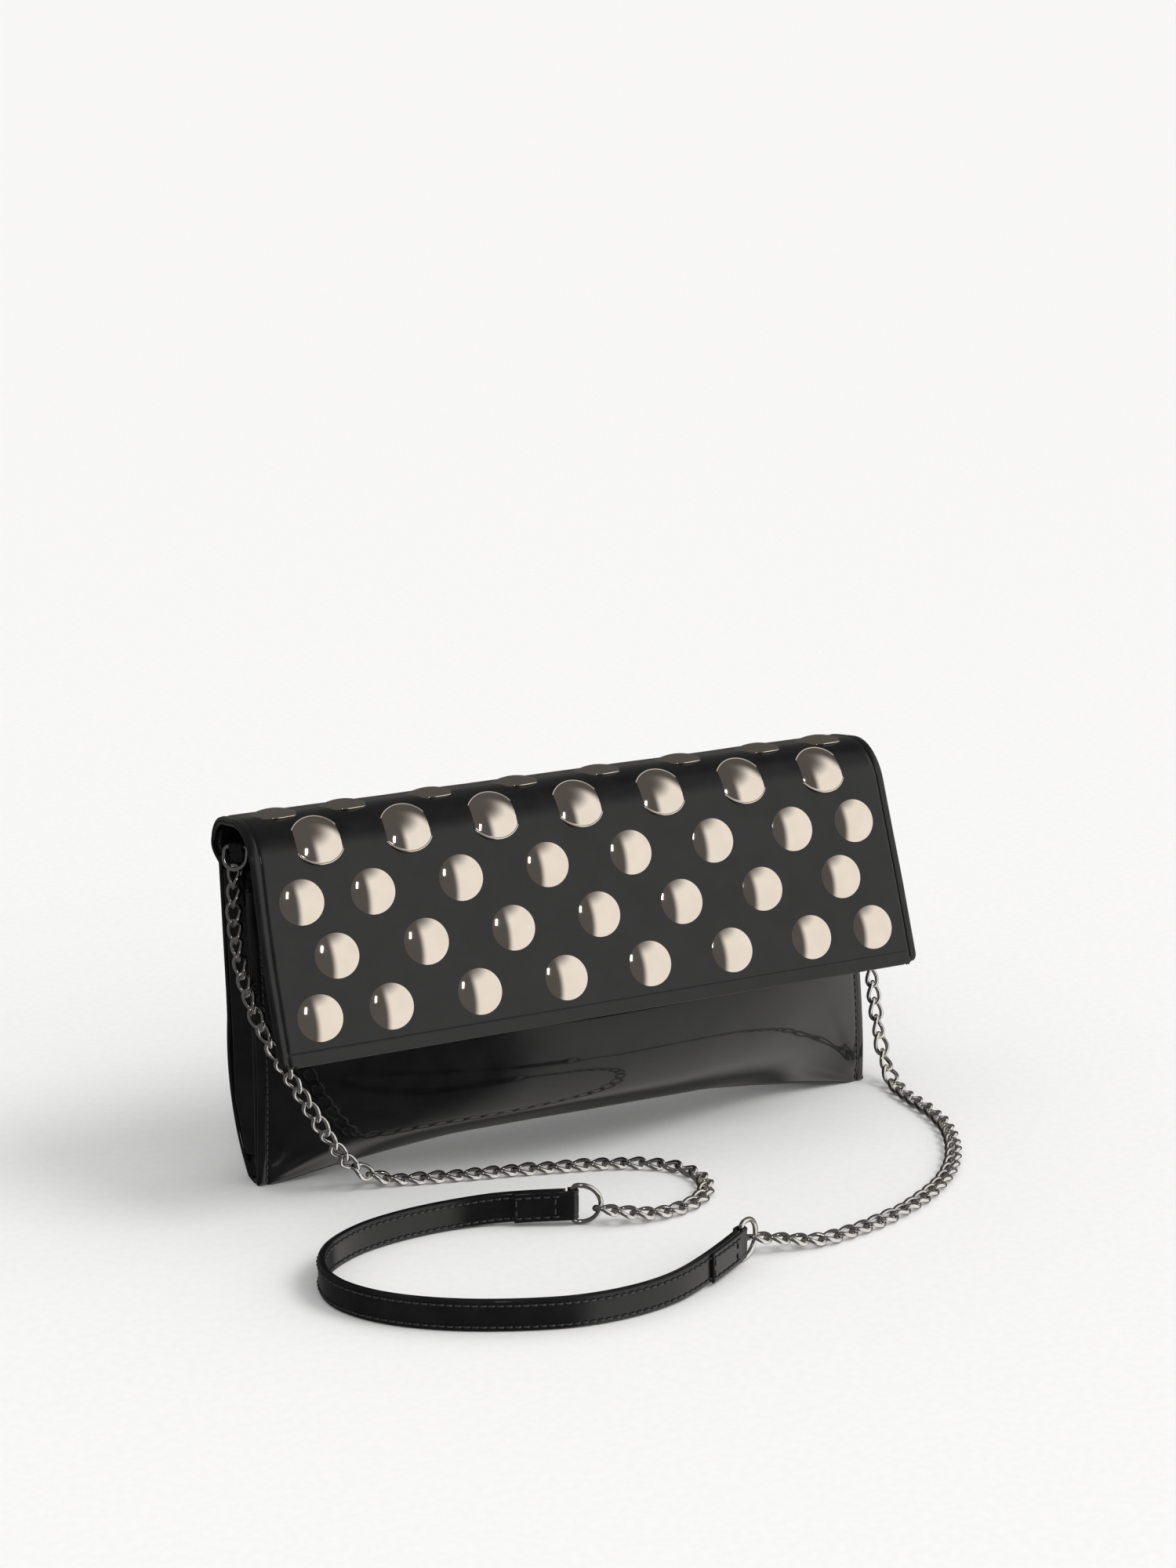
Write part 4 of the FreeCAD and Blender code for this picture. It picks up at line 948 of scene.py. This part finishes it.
def make_strap_end(word, line, along):
    """The strap's end folded round the ring's bar and sewn back on its outer face."""
    up = np.array([0.0, 0, 1])
    inward = unit(np.array([along[0][0], along[0][1], 0.0]))
    bar = line[0] - inward * (EYE + LAP_PLY + 0.15)
    ring = make_ring(f"strap_ring_metal_{word}", f"strap_ring_{word}", bar, -inward, up, 15.0, 10.7)
    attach(ring, "bag")
    side = np.cross(up, inward)
    radius = EYE + LAP_PLY / 2
    flat = STRAP_THICKNESS / 2 + LAP_PLY / 2 + 0.05
    distance = np.concatenate([[0], np.cumsum(np.linalg.norm(np.diff(line, axis=0), axis=1))])
    spots = np.arange(LAP_LENGTH, 1.0, -1.0)
    place = np.stack([np.interp(spots, distance, line[:, a]) for a in range(3)], 1)
    heading = unit(np.stack([np.interp(spots, distance, along[:, a]) for a in range(3)], 1))
    lateral = unit(np.cross((0, 0, 1.0), heading))
    fold = [place + lateral * flat]
    around = []
    for turn in np.linspace(90, 270, 15):
        angle = math.radians(turn)
        around.append(bar + inward * radius * math.cos(angle) + side * radius * math.sin(angle))
    fold.append(np.array(around))
    fold.append(np.array([around[-1] + inward * reach for reach in (1.2, 2.0)]))
    path = np.concatenate(fold)
    heading = unit(np.gradient(path, axis=0))
    outline = band_outline(LAP_PLY, STRAP_WIDTH, 0.5)
    lap = sweep_band(f"strap_lap_{word}", path, heading, outline, PATENT)
    face_outwards(lap)
    finish_piece(lap, "bag", "patent_leather", f"strap_end_{word}")
    surface = place + lateral * (flat + LAP_PLY / 2)
    lines = []
    for edge in (-1, 1):
        rise = np.array([0, 0, edge * (STRAP_WIDTH / 2 - STRAP_EDGE_STITCH)])
        lines.append((surface + rise, lateral))
    heights = np.linspace(-1, 1, 20) * (STRAP_WIDTH / 2 - STRAP_EDGE_STITCH)
    for k in (1, len(spots) - 3):
        cross = surface[k] + heights[:, None] * up
        lines.append((cross, np.broadcast_to(lateral[k], cross.shape)))
    thread = make_stitches(f"strap_lap_stitching_{word}", lines, "bag")
    return [ring, lap, thread]


def make_anchors():
    """The tab and the swinging ring at the top of each gusset."""
    for side, word in ((-1, "left"), (1, "right")):
        along = unit(np.array([side * (GUSSET_RIM - GUSSET_LEVELS[-1][1]),
                               (GUSSET_LEVELS[-1][3] - GUSSET_LEVELS[-1][2]) / 2, 0.0]))
        outward = np.array([side * along[1], -abs(along[0]), 0.0])
        origin = (np.array([side * GUSSET_RIM, GUSSET_LEVELS[-1][3], ANCHOR_Z])
                  - along * ANCHOR_INSET + outward * ANCHOR_OUT)
        droop = math.radians(66.0)
        bow = outward * math.cos(droop) - np.array([0, 0, math.sin(droop)])
        ring = make_ring(f"anchor_metal_{word}", f"anchor_ring_{word}", origin, bow, along, 9.0, 9.0)
        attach(ring, f"ring_{word}")
        radius = EYE + 0.55
        path = []
        for z in np.arange(108.5, 130.0, 1.5):
            path.append(origin + outward * 0.6 + np.array([0, 0, z - origin[2]]))
        for turn in np.linspace(-10, 190, 17):
            angle = math.radians(turn)
            path.append(origin + outward * radius * math.cos(angle)
                        + np.array([0, 0, radius * math.sin(angle)]))
        for z in np.arange(130.0, 108.5, -1.5):
            path.append(origin - outward * 0.6 + np.array([0, 0, z - origin[2]]))
        path = np.array(path)
        heading = unit(np.gradient(path, axis=0))
        outline = band_outline(1.1, 5.6, 0.45)
        thickness = unit(np.cross(heading, along))
        rings = (path[:, None, :] + outline[None, :, :1] * thickness[:, None, :]
                 + outline[None, :, 1:] * along)
        tab = make_object(f"anchor_leather_{word}", rings.reshape(-1, 3),
                          tube_faces(len(path), len(outline), False), PATENT)
        face_outwards(tab)
        finish_piece(tab, "bag", "patent_leather", f"anchor_tab_{word}")


def dress_metal():
    """The hard pieces that stay as they are get their own finish."""
    finishes = {"snap_plug": CHAIN_METAL, "snap_socket": CHAIN_METAL, "snap_magnet": FERRITE,
                "snap_plug_washer": STEEL, "snap_socket_washer": STEEL}
    for row in range(ROWS):
        finishes[f"stud_backs_row_{row + 1}"] = STEEL
    for node, material in finishes.items():
        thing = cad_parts[node]
        thing.data.materials.clear()
        thing.data.materials.append(material)


# ---- studio

WALL_EDGE = 3.0
WALL_LIGHT = 0.90
ROOM_SHADE = 0.09


def make_studio():
    material, tree, shader, place = new_material("paper_floor")
    grain = add_noise(tree, place, 300.0, 2.0)
    tree.links.new(add_tones(tree, grain, (0.865, 0.865, 0.865), (0.885, 0.885, 0.885)),
                   shader.inputs["Base Color"])
    shader.inputs["Roughness"].default_value = 1.0
    shader.inputs["Specular IOR Level"].default_value = 0.0
    reach = 30000.0
    floor = make_object("floor", [(-reach, -reach, 0), (reach, -reach, 0), (reach, reach, 0),
                                  (-reach, reach, 0)], [(0, 1, 2, 3)], material, False)
    floor.visible_glossy = False

    world = bpy.data.worlds.new("studio")
    bpy.context.scene.world = world
    bpy.context.scene.view_settings.view_transform = "Standard"
    world.use_nodes = True
    tree = world.node_tree
    place = tree.nodes.new("ShaderNodeTexCoord").outputs["Generated"]
    right = math.radians(WALL_EDGE)
    wall = soft_side(tree, place, (math.cos(right), math.sin(right), 0.0), -0.06, 0.20)
    wall = both(tree, wall, soft_side(tree, place, (0.0, -1.0, 0.0), -0.35, 0.05))
    wall = both(tree, wall, soft_side(tree, place, (0.0, 0.0, -1.0), -1.0, -0.66))
    shade = tree.nodes.new("ShaderNodeMapRange")
    shade.inputs["To Min"].default_value = ROOM_SHADE
    shade.inputs["To Max"].default_value = WALL_LIGHT
    tree.links.new(wall, shade.inputs["Value"])
    background = tree.nodes["Background"]
    background.inputs["Color"].default_value = (1.0, 0.975, 0.945, 1)
    tree.links.new(shade.outputs["Result"], background.inputs["Strength"])

    for name, source, strength, angle in (("key", (0.62, -0.45, 0.85), 1.0, 26.0),
                                          ("fill", (0.1, -0.1, 1.0), 1.9, 160.0)):
        add_sun(name, source, strength, angle).visible_glossy = False
    add_panel("strip", (-0.48, -1.02, 1.06), 0.09, 0.34, 0.65)


def soft_side(tree, place, towards, low, high):
    """One for directions on one side of a plane, none on the other, with a soft edge."""
    facing = tree.nodes.new("ShaderNodeVectorMath")
    facing.operation = "DOT_PRODUCT"
    tree.links.new(place, facing.inputs[0])
    facing.inputs[1].default_value = towards
    edge = tree.nodes.new("ShaderNodeMapRange")
    edge.interpolation_type = "SMOOTHSTEP"
    edge.inputs["From Min"].default_value = low
    edge.inputs["From Max"].default_value = high
    tree.links.new(facing.outputs["Value"], edge.inputs["Value"])
    return edge.outputs["Result"]


def both(tree, first, second):
    product = tree.nodes.new("ShaderNodeMath")
    product.operation = "MULTIPLY"
    tree.links.new(first, product.inputs[0])
    tree.links.new(second, product.inputs[1])
    return product.outputs["Value"]


def add_sun(name, source, strength, angle):
    data = bpy.data.lights.new(name, "SUN")
    data.energy = strength
    data.angle = math.radians(angle)
    light = bpy.data.objects.new(name, data)
    light.rotation_euler = Vector(source).to_track_quat("Z", "Y").to_euler()
    bpy.context.collection.objects.link(light)
    return light


def add_panel(name, place, width, height, energy):
    data = bpy.data.lights.new(name, "AREA")
    data.shape = "RECTANGLE"
    data.size = width
    data.size_y = height
    data.energy = energy
    light = bpy.data.objects.new(name, data)
    light.location = place
    light.rotation_euler = Vector(place).to_track_quat("Z", "Y").to_euler()
    bpy.context.collection.objects.link(light)


def make_camera():
    yaw = math.radians(25.124)
    pitch = math.radians(17.03)
    ahead = Vector((math.sin(yaw) * math.cos(pitch), math.cos(yaw) * math.cos(pitch),
                    -math.sin(pitch)))
    across = Vector((math.cos(yaw), -math.sin(yaw), 0))
    up = across.cross(ahead)
    turn = Matrix((across, up, -ahead)).transposed().to_4x4()
    data = bpy.data.cameras.new("camera")
    data.sensor_width = 36.0
    data.lens = 70.81
    camera = bpy.data.objects.new("camera", data)
    camera.matrix_world = Matrix.Translation((-0.4844, -1.0481, 0.5020)) @ turn
    bpy.context.collection.objects.link(camera)
    bpy.context.scene.camera = camera


def main():
    make_camera()
    make_studio()
    make_flap()
    make_studs()
    make_panels()
    make_gussets()
    make_anchors()
    make_strap()
    make_chain("chain_left_links", CHAIN_LEFT, -1, True, "chain_left")
    make_chain("chain_right_links", CHAIN_RIGHT, 1, False, "chain_right")
    dress_metal()


main()
